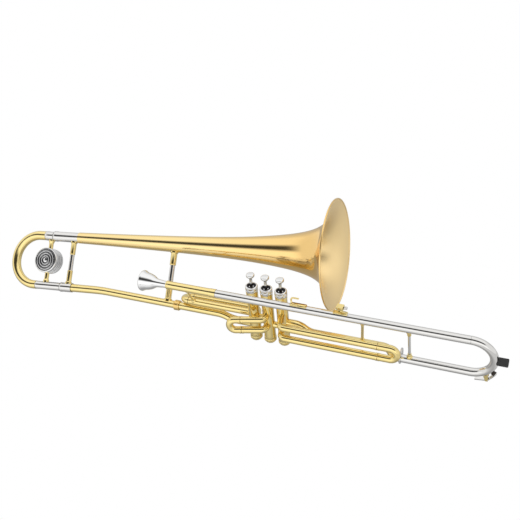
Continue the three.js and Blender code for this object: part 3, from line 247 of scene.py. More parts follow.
# Brightness that reflections see by the angle round the tubes: degrees from straight up
# towards the camera's side, so 90 is level with the camera's side and 180 straight down
SKY_ANGLES = (
    (-180, 0.32), (-120, 0.42), (-85, 0.52), (-60, 0.66), (-40, 0.86), (8, 0.9), (21, 0.3),
    (27, 0.04), (47, 0.04), (55, 0.5), (64, 1.0), (90, 1.0), (180, 0.32),
)
SKY_LEVELS = [((angle + 180) / 360, level) for angle, level in SKY_ANGLES]
# The same on the floor, by the distance across it in metres; this is painted shade, darkest under
# the horn and behind it, and only reflections see it
FLOOR_ACROSS = ((-1.0, 1.0), (-0.8, 0.95), (-0.42, 0.6), (-0.2, 0.38), (0.2, 0.4), (0.8, 0.5))
FLOOR_LEVELS = [(across * 0.5 + 0.5, level) for across, level in FLOOR_ACROSS]
# Light that reflections find beside the dark band, and how much brighter the softboxes are
SIDE_LIGHT = 0.75
SOFTBOX_GAIN = 1.27
# Where the band gives way to it, by the part of a reflection's direction that lies along the
# horn, and on the floor by the distance towards the bell in metres
SIDE_FADE = (0.65, 0.775)
FLOOR_FADE = (0.4, 0.7333333)
# Where the stem's paler colour, painted light, takes over on the bell, in metres along the horn
TAIL_FADE = (0.05, -0.2)
SURROUNDINGS = 0.55

FLOOR_SIZE = 6.0
FLOOR_HEIGHT = -0.45
# Area lamps: name, place, size and power
LAMPS = (("key_light", (1.2, -1.6, 1.9), 1.6, 22), ("fill_light", (-1.8, -0.9, 1.2), 1.6, 10))

# Camera, fitted to the photograph
CAMERA_PLACE = Vector((0.4844, -1.0274, 0.8900))
CAMERA_AZIMUTH = math.radians(25.51)
CAMERA_ELEVATION = math.radians(34.06)
CAMERA_ROLL = math.radians(-5.74)
CAMERA_LENS = 55.385


def in_bell(along, up):
    """A point in the bell's own plane, from millimetres along it and up."""
    return BELL_ORIGIN + (BELL_ALONG * along + BELL_NORMAL * up) * MM


# Settings


def tint_setting(name, description, default):
    """A colour that can be set in the panel."""
    return FloatVectorProperty(
        name=name, description=description, subtype="COLOR", default=default, min=0, max=1
    )


class TromboneFinish(bpy.types.PropertyGroup):
    """Colours and gloss of the metals."""

    bell_brass: tint_setting("Bell brass", "Colour of the lacquered bell", (0.93, 0.63, 0.25))
    # Painted light: the stem's paler colour stands in for its brighter highlights beside the
    # flare's deeper, inwardly reflected colour
    lit_stem_brass: tint_setting(
        "Bell stem brass", "Paler colour of the bell towards its tail", (0.93, 0.72, 0.34)
    )
    tube_brass: tint_setting(
        "Tube brass", "Colour of the lacquered tubes and valves", (0.93, 0.75, 0.33)
    )
    nickel: tint_setting("Nickel", "Colour of the nickel silver tubes", (0.75, 0.74, 0.72))
    silver: tint_setting("Silver", "Colour of the silver plate", (0.84, 0.84, 0.835))
    gloss: FloatProperty(
        name="Roughness",
        description="Roughness of the polished metals",
        default=0.07,
        min=0.02,
        max=0.6,
        subtype="FACTOR",
    )


class TromboneDetail(bpy.types.PropertyGroup):
    """Thickness of the spun sheet."""

    bell_wall: FloatProperty(
        name="Bell wall",
        description="Thickness of the bell's sheet",
        default=BELL_WALL * MM,
        min=0.0003,
        max=0.002,
        unit="LENGTH",
    )


# Shader sockets


class Socket:
    """A shader socket that turns Python arithmetic into Math nodes."""

    def __init__(self, paint, link):
        self.paint = paint
        self.link = link

    def math(self, operation, first, second):
        return self.paint.node("ShaderNodeMath", {"operation": operation}, first, second)

    def __add__(self, other):
        return self.math("ADD", self, other)

    __radd__ = __add__

    def __sub__(self, other):
        return self.math("SUBTRACT", self, other)

    def __rsub__(self, other):
        return self.math("SUBTRACT", other, self)

    def __mul__(self, other):
        return self.math("MULTIPLY", self, other)

    def __gt__(self, other):
        return self.math("GREATER_THAN", self, other)

    def __lt__(self, other):
        return self.math("LESS_THAN", self, other)

    def fade(self, start, end):
        """0 up to one value and 1 from the other on, with an even rise between them."""
        slope = 1 / (end - start)
        settings = {"operation": "ADD", "use_clamp": True}
        return self.paint.node("ShaderNodeMath", settings, self * slope, -start * slope)


class Paint:
    """One material or world and the nodes that it is made of."""

    def __init__(self, owner):
        self.owner = owner
        owner.use_nodes = True
        self.tree = owner.node_tree
        self.tree.nodes.clear()

    def node(self, kind, settings=None, *values, out=0, **named):
        """Adds a node, sets its settings first and then its inputs, and gives one output."""
        made = self.tree.nodes.new(kind)
        for key, value in (settings or {}).items():
            if key == "stops":
                elements = made.color_ramp.elements
                for element, (place, level) in zip(elements, (value[0], value[-1])):
                    element.position = place
                    element.color = (level, level, level, 1)
                for place, level in value[1:-1]:
                    elements.new(place).color = (level, level, level, 1)
            else:
                setattr(made, key, value)
        pairs = list(enumerate(values))
        pairs += [(key.replace("_", " ").title(), value) for key, value in named.items()]
        for key, value in pairs:
            if value is None:
                continue
            if isinstance(value, Socket):
                self.tree.links.new(value.link, made.inputs[key])
            else:
                made.inputs[key].default_value = value
        return Socket(self, made.outputs[out] if made.outputs else None)

    def place(self):
        """Object coordinates, in metres."""
        return self.node("ShaderNodeTexCoord", out="Object")

    def noise(self, scale, detail=2.0, stretch=(1, 1, 1)):
        """Soft noise from 0 to 1 over the piece."""
        spot = self.node("ShaderNodeMapping", {}, self.place(), scale=stretch)
        return self.node("ShaderNodeTexNoise", {}, vector=spot, scale=scale, detail=detail)

    def vector(self, operation, first, second=None, out=0):
        """One vector operation."""
        return self.node("ShaderNodeVectorMath", {"operation": operation}, first, second, out=out)

    def outputs(self, kind, *names, vector=None):
        """Named outputs of one node, which may take a vector."""
        made = self.node(kind, {}, vector).link.node
        return [Socket(self, made.outputs[name]) for name in names]

    def split(self, value):
        """The three parts of a vector."""
        return self.outputs("ShaderNodeSeparateXYZ", "X", "Y", "Z", vector=value)

    def ramp(self, value, levels):
        """A level that runs through given places from 0 to 1."""
        return self.node("ShaderNodeValToRGB", {"stops": levels}, value)

    def mix(self, factor, first, second):
        """A colour between two colours; the five inputs between are for other data types."""
        ends = [value if isinstance(value, Socket) else (*value, 1) for value in (first, second)]
        settings = {"data_type": "RGBA"}
        return self.node("ShaderNodeMix", settings, factor, *[None] * 5, *ends, out=2)

    def bump(self, strength, distance, height):
        """A normal that is bumped by a height."""
        return self.node(
            "ShaderNodeBump", {}, strength=strength, distance=distance, height=height
        )

    def surface(self, **values):
        """The principled shader and the material's output."""
        shader = self.node("ShaderNodeBsdfPrincipled", {}, **values)
        self.node("ShaderNodeOutputMaterial", {}, shader)


# Materials, each made at its first use


def made_once(name, build):
    """The material of a name, built on a clean node tree if it isn't there yet."""
    if name not in bpy.data.materials:
        build(Paint(bpy.data.materials.new(name)))
    return bpy.data.materials[name]


def polished(name, base, dark, roughness, streak=1.0, tail=None, seam=None):
    """A polished metal with buffing lines, faint smudges and a slow drift of colour.

    A tail colour takes over from the base colour towards the player's end; it is paler, painted
    light that stands in for the stem's brighter highlights. A shadow line is painted shade: a
    dark band at a place along the bell, where the gap at a joint lies in shadow.
    """

    def build(paint):
        drift = paint.noise(9, 3, (0.6, 1, 1))
        smudge = paint.noise(60, 4)
        buffing = paint.noise(900, 2, (0.05, 1, 1))
        tint = paint.mix(drift * 0.5 + smudge * 0.2, tuple(base), tuple(dark))
        # Painted light: a paler tail colour for the brighter highlights along the bell's stem
        if tail is not None:
            along = paint.split(paint.place())[0]
            tint = paint.mix(along.fade(*TAIL_FADE), tint, tuple(tail))
        # Painted shade: a dark band across the joint, where the gap between the parts lies in
        # shadow
        if seam is not None:
            arm = paint.vector("SUBTRACT", paint.place(), tuple(in_bell(seam, 0)))
            off = paint.vector("DOT_PRODUCT", arm, tuple(BELL_ALONG), out="Value") * 1000
            line = (off > -0.5) * (off < 1.1)
            tint = paint.mix(line * 0.8, tint, (0.07, 0.06, 0.05))
        rough = roughness + (smudge - 0.35) * 0.05 + (buffing - 0.5) * 0.02 * streak
        bump = paint.bump(0.012 * streak, 0.00005, buffing)
        paint.surface(base_color=tint, metallic=1.0, roughness=rough, normal=bump)

    return made_once(name, build)


def finish_settings():
    return bpy.context.scene.trombone_finish


def metal(name, base, share, **more):
    """A polished metal of the set colour and gloss, with a darker share of it for its drift."""
    gloss = finish_settings().gloss + more.pop("duller", 0)
    return polished(name, base, [part * share for part in base], gloss, **more)


def bell_brass():
    finish = finish_settings()
    return metal("bell_brass", finish.bell_brass, 0.92, duller=0.05, tail=finish.lit_stem_brass)


def bell_inside():
    """The softer sheen inside the bell, from a rougher finish; its paler colour is painted light.
    """
    return polished("bell_inside", (1.0, 0.79, 0.42), (0.96, 0.71, 0.36), 0.40)


def tube_brass():
    return metal("tube_brass", finish_settings().tube_brass, 0.92, duller=0.04)


def nickel(name="nickel_silver", seam=None):
    return metal(name, finish_settings().nickel, 0.95, seam=seam)


def nut_brass():
    return polished("nut_brass", (0.91, 0.67, 0.28), (0.84, 0.60, 0.23), 0.14)


def silver():
    return metal("silver_plate", finish_settings().silver, 0.96, streak=0.5)


def weight_silver():
    """Silver plate whose turned grooves are darkened, as on the face of the counterweight."""

    def build(paint):
        arm = paint.vector("SUBTRACT", paint.place(), tuple(in_bell(WEIGHT_X, -CROOK_RADIUS)))
        depth = paint.vector("DOT_PRODUCT", arm, tuple(-BELL_BACK), out="Value") * 1000
        flat = paint.vector("CROSS_PRODUCT", arm, tuple(BELL_BACK))
        reach = paint.vector("LENGTH", flat, out="Value") * 1000
        half = WEIGHT_THICKNESS / 2
        face = (depth < half - 0.8) * (depth > half - 2) * (reach < WEIGHT_FACE)
        side = (reach < WEIGHT_RADIUS - 0.45) * (depth < half - 3)
        dark = paint.node("ShaderNodeMath", {"operation": "MINIMUM"}, face + side * 0.5, 1.0)
        tarnish = paint.noise(180, 3)
        tint = paint.mix(dark, tuple(finish_settings().silver), (0.10, 0.10, 0.11))
        tint = paint.mix(tarnish * 0.08, tint, (0.62, 0.62, 0.62))
        rough = 0.10 + dark * 0.3 + tarnish * 0.04
        paint.surface(base_color=tint, metallic=1.0, roughness=rough)

    return made_once("counterweight_silver", build)


def rubber():
    def build(paint):
        rough = 0.62 + paint.noise(900, 3) * 0.2
        paint.surface(base_color=(0.018, 0.018, 0.018, 1), roughness=rough)

    return made_once("black_rubber", build)


def grained(name, scale, detail, first, second, roughness, nap=0):
    """A dull material between two colours over its grain, which may stand up as a nap."""

    def build(paint):
        grain = paint.noise(scale, detail)
        nap_bump = paint.bump(nap, 0.0003, grain) if nap else None
        tint = paint.mix(grain, first, second)
        paint.surface(base_color=tint, roughness=roughness, normal=nap_bump)

    return made_once(name, build)


def felt():
    dark, pale = (0.008, 0.007, 0.008), (0.035, 0.032, 0.034)
    return grained("black_felt", 2600, 4, dark, pale, 0.95, nap=0.5)


def cork():
    dark, pale = (0.02, 0.016, 0.012), (0.06, 0.05, 0.04)
    return grained("water_key_cork", 1500, 3, dark, pale, 0.85)


def spring_wire():
    def build(paint):
        paint.surface(base_color=(0.45, 0.45, 0.46, 1), metallic=1.0, roughness=0.35)

    return made_once("spring_wire", build)


# The look of each material slot of the record
LOOKS = {
    "gold_brass": bell_brass,
    "yellow_brass": tube_brass,
    "nickel": nickel,
    "silver": silver,
    "black_rubber": rubber,
    "felt": felt,
    "cork": cork,
    "spring_steel": spring_wire,
}


# Modelling


def clear_selection():
    if bpy.context.mode != "OBJECT":
        bpy.ops.object.mode_set(mode="OBJECT")
    bpy.ops.object.select_all(action="DESELECT")


def choose(made):
    """Makes one object the only selected one and the active one."""
    clear_selection()
    made.select_set(True)
    bpy.context.view_layer.objects.active = made


def begin(name):
    """Names the new primitive, fixes its place in its mesh and opens it for editing."""
    bpy.ops.object.transform_apply(location=True, rotation=True, scale=True)
    made = bpy.context.object
    made.name = name
    made.data.name = name
    bpy.ops.object.mode_set(mode="EDIT")
    bpy.ops.mesh.select_mode(type="VERT")
    bpy.ops.mesh.select_all(action="SELECT")
    return made


def merge_doubles(distance=2e-6):
    """Selects the whole mesh and merges points that lie on each other."""
    bpy.ops.mesh.select_all(action="SELECT")
    bpy.ops.mesh.remove_doubles(threshold=distance)


def settle():
    """Merges doubles and turns the faces outwards, then leaves edit mode."""
    merge_doubles()
    bpy.ops.mesh.normals_make_consistent(inside=False)
    bpy.ops.object.mode_set(mode="OBJECT")


def dress(made, slot, body, *nodes, look=None, angle=38):
    """Gives a finished piece its look, its smooth shading and its place on the frame."""
    choose(made)
    bpy.ops.object.shade_smooth_by_angle(angle=math.radians(angle))
    made.data.materials.clear()
    made.data.materials.append(look or LOOKS[slot]())
    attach(made, body)
    if nodes:
        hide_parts(*nodes)


class Tube:
    """A ring that is extruded along straight runs and spun round bends, sizes in millimetres."""

    def __init__(self, name, at, heading, radius, sides=40):
        self.at = at.copy()
        self.heading = heading.normalized()
        self.radius = radius
        clear_selection()
        bpy.ops.mesh.primitive_circle_add(
            vertices=sides,
            radius=radius * MM,
            fill_type="NOTHING",
            location=at,
            rotation=self.heading.to_track_quat("Z", "Y").to_euler(),
        )
        self.made = begin(name)

    def swell(self, radius):
        """Brings the open end to another radius."""
        if radius is not None and abs(radius - self.radius) > 1e-6:
            share = radius / self.radius
            bpy.ops.transform.resize(value=(share, share, share), center_override=self.at)
            self.radius = radius
        return self

    def straight(self, length, radius=None):
        move = self.heading * length * MM
        bpy.ops.mesh.extrude_region_move(TRANSFORM_OT_translate={"value": move})
        self.at += move
        return self.swell(radius)

    def straight_to(self, x, radius=None):
        """A straight run along the X axis up to a place on it."""
        return self.straight(abs(x - self.at.x / MM), radius)

    def ring(self, width, height=0.45):
        """A short raised collar."""
        radius = self.radius
        self.straight(0.15, radius + height * 0.7).straight(0.3, radius + height)
        self.straight(width - 0.9, radius + height).straight(0.3, radius + height * 0.7)
        return self.straight(0.15, radius)

    def bend(self, axis, bend_radius, angle, steps=24, radius=None):
        """Spins the end round a centre; a change of radius is spread over the bend."""
        axis = axis.normalized()
        centre = self.at + axis.cross(self.heading) * bend_radius * MM
        first = self.radius
        last = self.radius if radius is None else radius
        parts = 1 if abs(last - first) < 1e-6 else 8
        for part in range(1, parts + 1):
            bpy.ops.mesh.spin(
                steps=max(1, steps // parts), angle=-angle / parts, center=centre, axis=axis
            )
            turn = Matrix.Rotation(angle / parts, 3, axis)
            self.at = centre + turn @ (self.at - centre)
            self.heading = (turn @ self.heading).normalized()
            self.swell(first + (last - first) * part / parts)
        return self

    def shift(self, sideways, length, steps):
        """Two equal bends that carry the tube sideways."""
        angle = 2 * math.atan(sideways.length / MM / length)
        radius = length / (2 * math.sin(angle))
        axis = self.heading.cross(sideways.normalized())
        return self.bend(axis, radius, angle, steps).bend(-axis, radius, angle, steps)

    def walled(self, wall=TUBE_WALL):
        """Closes the tube as a sheet of the given thickness."""
        settle()
        sheet = self.made.modifiers.new("wall", "SOLIDIFY")
        sheet.thickness = wall * MM
        sheet.offset = -1
        choose(self.made)
        bpy.ops.object.modifier_apply(modifier=sheet.name)
        return self.made

    def solid(self):
        """Closes both ends, for a rod."""
        merge_doubles()
        bpy.ops.mesh.fill_holes(sides=0)
        settle()
        return self.made


def about(radius, along, *steps):
    """Outline points given as steps from a radius and from a place along the axis."""
    return [(radius + out, along + on) for out, on in steps]


def arc(radius, along, out, on, first, step, count):
    """Outline points on an arc: its centre, its two radii, its first angle, step and count."""
    turns = [math.radians(first + step * i) for i in range(count)]
    return [(radius + out * math.cos(turn), along + on * math.sin(turn)) for turn in turns]


def closed(bore, outline):
    """An outline that begins and ends at the bore, which is 0 for a solid piece."""
    return [(bore, outline[0][1]), *outline, (bore, outline[-1][1])]


def turned(name, outline, origin, axis, steps=64):
    """Spins an outline of radius and along pairs, in millimetres, round an axis."""
    axis = axis.normalized()
    across = axis.orthogonal().normalized()
    spots = [origin + (axis * along + across * radius) * MM for radius, along in outline]
    on_axis = any(radius < 1e-6 for radius, along in outline)
    clear_selection()
    bpy.ops.mesh.primitive_plane_add(size=0.001, location=spots[0])
    made = begin(name)
    bpy.ops.mesh.merge(type="CENTER")
    if not on_axis:
        spots.append(spots[0])
    for here, there in zip(spots, spots[1:]):
        bpy.ops.mesh.extrude_region_move(TRANSFORM_OT_translate={"value": there - here})
    merge_doubles(1e-6)
    bpy.ops.mesh.spin(steps=steps, angle=math.tau, center=origin, axis=axis)
    settle()
    return made


def rod(name, start, end, radius, sides):
    """A solid round rod between two points."""
    span = end - start
    return Tube(name, start, span, radius, sides).straight(span.length / MM).solid()


def carve(made, tool):
    """Cuts a tool from a piece and removes the tool."""
    choose(made)
    cutter = made.modifiers.new("cut", "BOOLEAN")
    cutter.operation = "DIFFERENCE"
    cutter.solver = "EXACT"
    cutter.object = tool
    bpy.ops.object.modifier_apply(modifier=cutter.name)
    bpy.data.objects.remove(tool)
    return made


def seat_on(made, through, axis, radius, reach=60):
    """Cuts a piece to the outside of a round tube."""
    arm = axis.normalized() * reach * MM
    return carve(made, rod("seat_tool", through - arm, through + arm, radius, 64))


def smooth_outline(points, per_span=3):
    """Points on a smooth curve through a list of points."""
    result = []
    padded = [points[0], *points, points[-1]]
    for spots in zip(padded, padded[1:], padded[2:], padded[3:]):
        for step in range(per_span):
            t = step / per_span
            weights = (
                2 * t * t - t - t**3,
                2 - 5 * t * t + 3 * t**3,
                t + 4 * t * t - 3 * t**3,
                t**3 - t * t,
            )
            result.append([
                sum(weight * spot[k] for weight, spot in zip(weights, spots)) / 2 for k in (0, 1)
            ])
    return [*result, points[-1]]


def copied(made, name, move):
    """A copy of a piece, not dressed yet, with its own mesh at another place."""
    choose(made)
    bpy.ops.object.duplicate_move(TRANSFORM_OT_translate={"value": move})
    bpy.ops.object.transform_apply(location=True, rotation=True, scale=True)
    copy = bpy.context.object
    copy.name = name
    copy.data.name = name
    return copy


def simple_copy(node, slot, body, angle=35):
    """A merged, smooth-shaded copy of a solid that already has its final shape."""
    clear_selection()
    bpy.ops.mesh.primitive_plane_add(size=0.001)
    made = bpy.context.object
    made.name = node + "_dressed"
    made.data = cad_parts[node].data.copy()
    made.data.name = made.name
    bpy.ops.object.mode_set(mode="EDIT")
    merge_doubles(1e-6)
    bpy.ops.object.mode_set(mode="OBJECT")
    dress(made, slot, body, node, angle=angle)


# Bell and tuning slide


class TROMBONE_OT_bell(bpy.types.Operator):
    """Spins the bell from its tail to the beaded rim of the flare."""

    bl_idname = "trombone.bell"
    bl_label = "Bell"

    def execute(self, context):
        wall = context.scene.trombone_detail.bell_wall / MM
        outside = smooth_outline(BELL_OUTLINE)
        inside = []
        for i, (along, radius) in enumerate(outside):
            before, after = outside[max(0, i - 1)], outside[min(len(outside) - 1, i + 1)]
            slope = Vector((after[0] - before[0], after[1] - before[1])).normalized()
            lift = slope.y * wall if i else 0
            inside.append((radius - slope.x * wall, along + lift))
        along, radius = BELL_OUTLINE[-1]
        bead = arc(radius + BELL_BEAD * 0.3, along + 0.4, BELL_BEAD, BELL_BEAD, -95, 27, 11)
        outline = [(r, a) for a, r in outside[:-1]] + bead + inside[-2::-1]
        made = turned("bell_body", outline, BELL_ORIGIN, BELL_ALONG, 128)
        dress(made, "gold_brass", "horn", "bell")
        made.data.materials.append(bell_inside())
        for face in made.data.polygons:
            spot = face.center - BELL_ORIGIN
            if face.normal.dot(spot - BELL_ALONG * spot.dot(BELL_ALONG)) < 0:
                face.material_index = 1
        return {"FINISHED"}


class TROMBONE_OT_slide_sleeves(bpy.types.Operator):
    """Draws the two nickel sleeves of the tuning slide with their collars."""

    bl_idname = "trombone.slide_sleeves"
    bl_label = "Tuning slide sleeves"

    def execute(self, context):
        for word, node, bore, radius, start, end, up, collar in (
            ("upper", "bell_slide_sleeve", UPPER_SLEEVE_BORE, UPPER_SLEEVE_RADIUS,
             UPPER_SLEEVE_START, UPPER_SLEEVE_END, 0,
             ((0.3, 0), (0.5, 0.3), (0.5, 7.6), (0.3, 8), (0, 8.4))),
            ("lower", "lower_slide_sleeve", LOWER_SLEEVE_BORE, LOWER_SLEEVE_RADIUS,
             LOWER_SLEEVE_START, LOWER_SLEEVE_END, LOWER_UP,
             ((0.2, 0), (0.4, 0.3), (0.4, 3.7), (0, 4.2))),
        ):
            outline = closed(bore, about(radius, start, *collar) + [(radius, end)])
            made = turned(f"{word}_sleeve", outline, in_bell(0, up), BELL_ALONG)
            # The sleeve's material paints shade: a dark band at the sleeve's start, where the gap
            # at the joint lies in shadow
            dress(made, "nickel", "horn", node, look=nickel(f"{word}_sleeve_nickel", start))
        return {"FINISHED"}


class TROMBONE_OT_gooseneck(bpy.types.Operator):
    """Draws the tapered gooseneck with its slight bend, and the lock nut at its end."""

    bl_idname = "trombone.gooseneck"
    bl_label = "Gooseneck and lock nut"

    def execute(self, context):
        start = in_bell(LOWER_SLEEVE_END + JOINT_GAP, LOWER_UP)
        corner = mm(GOOSENECK_CORNER, EXIT_Y, EXIT_Z)
        span = corner - start
        heading = span.normalized()
        turn = heading.angle(X)
        reach = GOOSENECK_BEND * math.tan(turn / 2)
        neck = Tube("gooseneck_tube", start, heading, GOOSENECK_RADIUS)
        neck.straight(span.length / MM - reach, NECK_AT_BEND)
        neck.bend(heading.cross(X), GOOSENECK_BEND, turn, 16, NECK_AFTER_BEND)
        neck.straight_to(NECK_STRAIGHT_END).straight_to(EXIT_JOINT - JOINT_GAP, EXIT_RADIUS)
        dress(neck.walled(), "yellow_brass", "horn", "gooseneck")

        outline = [(NUT_RADIUS - 0.9, NUT_START)]
        pitch = (NUT_END - NUT_START - 1.2) / NUT_RIBS
        for i in range(NUT_RIBS):
            rib = (-0.5, 0), (0, 0.4), (0, pitch - 0.8), (-0.5, pitch - 0.4)
            outline += about(NUT_RADIUS, NUT_START + 0.6 + i * pitch, *rib)
        outline.append((NUT_RADIUS - 0.9, NUT_END))
        outline = closed(EXIT_RADIUS + NUT_PLAY, outline)
        nut = turned("lock_nut", outline, mm(0, EXIT_Y, EXIT_Z), X, 48)
        dress(nut, "yellow_brass", "bell_lock_nut", "bell_lock_nut", look=nut_brass())
        return {"FINISHED"}


class TROMBONE_OT_tuning_slide(bpy.types.Operator):
    """Bends the tuning crook and turns its two nickel legs."""

    bl_idname = "trombone.tuning_slide"
    bl_label = "Tuning slide"

    def execute(self, context):
        start = UPPER_FERRULE_START - JOINT_GAP
        crook = Tube("tuning_crook_tube", in_bell(start, 0), -BELL_ALONG, CROOK_UPPER_TUBE, 48)
        crook.straight(start - CROOK_CENTRE)
        crook.bend(BELL_ALONG.cross(BELL_NORMAL), CROOK_RADIUS, math.pi, 64, CROOK_LOWER_TUBE)
        crook.straight(LOWER_LEG_START - JOINT_GAP - CROOK_CENTRE)
        dress(crook.walled(TUNING_WALL), "yellow_brass", "tuning_slide", "tuning_crook")

        ferrule = (-0.2, 0), (0, 0.3), (0, 6), (-0.35, 6.3)
        upper = about(UPPER_FERRULE_RADIUS, UPPER_FERRULE_START, *ferrule)
        stop = (-0.35, -3.2), (0, -2.9), (0, -1)
        upper += about(UPPER_FERRULE_RADIUS, UPPER_SLEEVE_START, *stop)
        upper += [(UPPER_LEG, UPPER_SLEEVE_START - 0.5), (UPPER_LEG, UPPER_LEG_END)]
        collar = (0.1, 0), (0.25, 0.3), (0.25, 4), (0, 4.4)
        lower = about(LOWER_LEG, LOWER_LEG_START, *collar)
        lower.append((LOWER_LEG, LOWER_SLEEVE_END - 0.6))
        for word, radius, outline, up in (
            ("upper", UPPER_LEG, upper, 0),
            ("lower", LOWER_LEG, lower, LOWER_UP),
        ):
            outline = closed(radius - TUNING_WALL, outline)
            leg = turned(f"{word}_slide_leg", outline, in_bell(0, up), BELL_ALONG)
            dress(leg, "nickel", "tuning_slide", f"tuning_leg_{word}")
        return {"FINISHED"}


class TROMBONE_OT_counterweight(bpy.types.Operator):
    """Turns the counterweight with its ringed face and fits its two stubs to the slide legs."""

    bl_idname = "trombone.counterweight"
    bl_label = "Counterweight"

    def execute(self, context):
        half = WEIGHT_THICKNESS / 2
        edge, round_off = WEIGHT_RADIUS - WEIGHT_CORNER, (WEIGHT_CORNER, WEIGHT_CORNER)
        outline = [(0, -half), (edge, -half)]
        outline += arc(edge, WEIGHT_CORNER - half, *round_off, -67.5, 22.5, 4)
        for groove in WEIGHT_GROOVES:
            outline += about(WEIGHT_RADIUS, groove, (0, 0), (-0.7, 0.3), (-0.7, 1.5), (0, 1.8))
        outline += arc(edge, half - WEIGHT_CORNER, *round_off, 0, 22.5, 5)
        outline += about(WEIGHT_FACE, half, (0.4, 0), (0.1, -0.2), (-0.2, -1.4))
        for outer, inner in WEIGHT_RINGS:
            outline += about(outer, half, (0, -1.4), (-0.3, -0.5), (-0.9, -0.3))
            outline += about(inner, half, (0.9, -0.3), (0.3, -0.5), (0, -1.4))
        outline += about(0, half, (5.2, -1.4), (4.8, -0.5), (4.0, -0.2), (0, 0))
        centre = in_bell(WEIGHT_X, -CROOK_RADIUS)
        disc = turned("counterweight_disc", outline, centre, -BELL_BACK, 96)
        dress(disc, "silver", "tuning_slide", "counterweight", look=weight_silver(), angle=30)
        for word, way, radius in (
            ("upper", BELL_NORMAL, UPPER_FERRULE_RADIUS),
            ("lower", -BELL_NORMAL, LOWER_LEG),
        ):
            seat = CROOK_RADIUS - radius
            outline = about(WEIGHT_STUB, seat, (0, 22 - seat), (0, -6), (0.4, -4.5))
            outline += about(WEIGHT_FOOT, seat, (-0.3, -2.6), (-0.1, -2), (-0.1, radius - 5))
            name = f"counterweight_stub_{word}"
            stub = turned(name, closed(0, outline), centre, way, 32)
            seat_on(stub, centre + way * CROOK_RADIUS * MM, BELL_ALONG, radius)
            dress(stub, "yellow_brass", "tuning_slide")
        return {"FINISHED"}


# Braces


def brace(word, node, start, end, at_start, at_end, bar, socket, reach, rod_slot):
    """Two sockets with feet cut to their tubes, and the rod between them."""
    way = (end - start).normalized()
    for letter, at, toward, (axis, radius) in (
        ("a", start, way, at_start),
        ("b", end, -way, at_end),
    ):
        foot = (1.7, -3.5), (1.7, 0.9), (1.3, 1.4), (0.3, 2.1), (0, 3)
        neck = (0, -2.6), (-0.3, -2.3), (0, -2), (0, -0.6), (-0.3, 0)
        outline = about(socket, radius, *foot) + about(socket, radius + reach, *neck)
        outline += about(bar, radius + reach, (-0.3, 0), (-0.3, -3))
        name = f"{word}_brace_socket_{letter}"
        made = seat_on(turned(name, closed(0, outline), at, toward, 48), at, axis, radius)
        dress(made, "yellow_brass", "horn", *([node] if letter == "a" else []))
    first = start + way * (at_start[1] + reach - 2.9) * MM
    last = end - way * (at_end[1] + reach - 2.9) * MM
    dress(rod(f"{word}_brace_rod", first, last, bar, 40), rod_slot, "horn")


class TROMBONE_OT_braces(bpy.types.Operator):
    """Fits the five braces between the tubes."""

    bl_idname = "trombone.braces"
    bl_label = "Braces"

    def execute(self, context):
        neck = in_bell(BELL_BRACE, LOWER_UP)
        neck.y, neck.z = EXIT_Y * MM, EXIT_Z * MM
        share = (neck.x / MM - NECK_STRAIGHT_END) / (EXIT_JOINT - NECK_STRAIGHT_END)
        neck_radius = NECK_AFTER_BEND + (EXIT_RADIUS - NECK_AFTER_BEND) * share
        rows = [
            ("rear", "rear_brace", in_bell(REAR_BRACE, 0), in_bell(REAR_BRACE, LOWER_UP),
             (BELL_ALONG, UPPER_SLEEVE_RADIUS), (BELL_ALONG, LOWER_SLEEVE_RADIUS),
             REAR_BRACE_ROD, REAR_BRACE_SOCKET, STRONG_BRACE_REACH, "nickel"),
            ("bell", "bell_brace", in_bell(BELL_BRACE, 0), neck,
             (BELL_ALONG, BELL_AT_BRACE), (X, neck_radius),
             BELL_BRACE_ROD, BELL_BRACE_SOCKET, STRONG_BRACE_REACH, "nickel"),
        ]
        for word, node, x, end, low, bar, rod_slot in (
            ("front", "brace_front", FRONT_BRACE, (FRONT_BRACE, RETURN_Y, RETURN_Z),
             RETURN_RADIUS, BRACE_ROD, "nickel"),
            ("middle", "brace_middle", MIDDLE_BRACE, (MIDDLE_BRACE - 10, 0, GOLD_RETURN_Z),
             RETURN_RADIUS, BRACE_ROD, "yellow_brass"),
            ("lead", "brace_rear", LEAD_BRACE, (LEAD_BRACE - 4, *SLIDE_1_UPPER),
             SLIDE_TUBE, LEAD_BRACE_ROD, "yellow_brass"),
        ):
            high = LEAD_REAR_RADIUS if x < LEAD_JOINT else LEAD_FRONT_RADIUS
            ends = mm(x, LEAD_Y, LEAD_Z), mm(*end), (X, high), (X, low)
            rows.append((word, node, *ends, bar, BRACE_SOCKET, BRACE_REACH, rod_slot))
        for row in rows:
            brace(*row)
        return {"FINISHED"}


# Valves


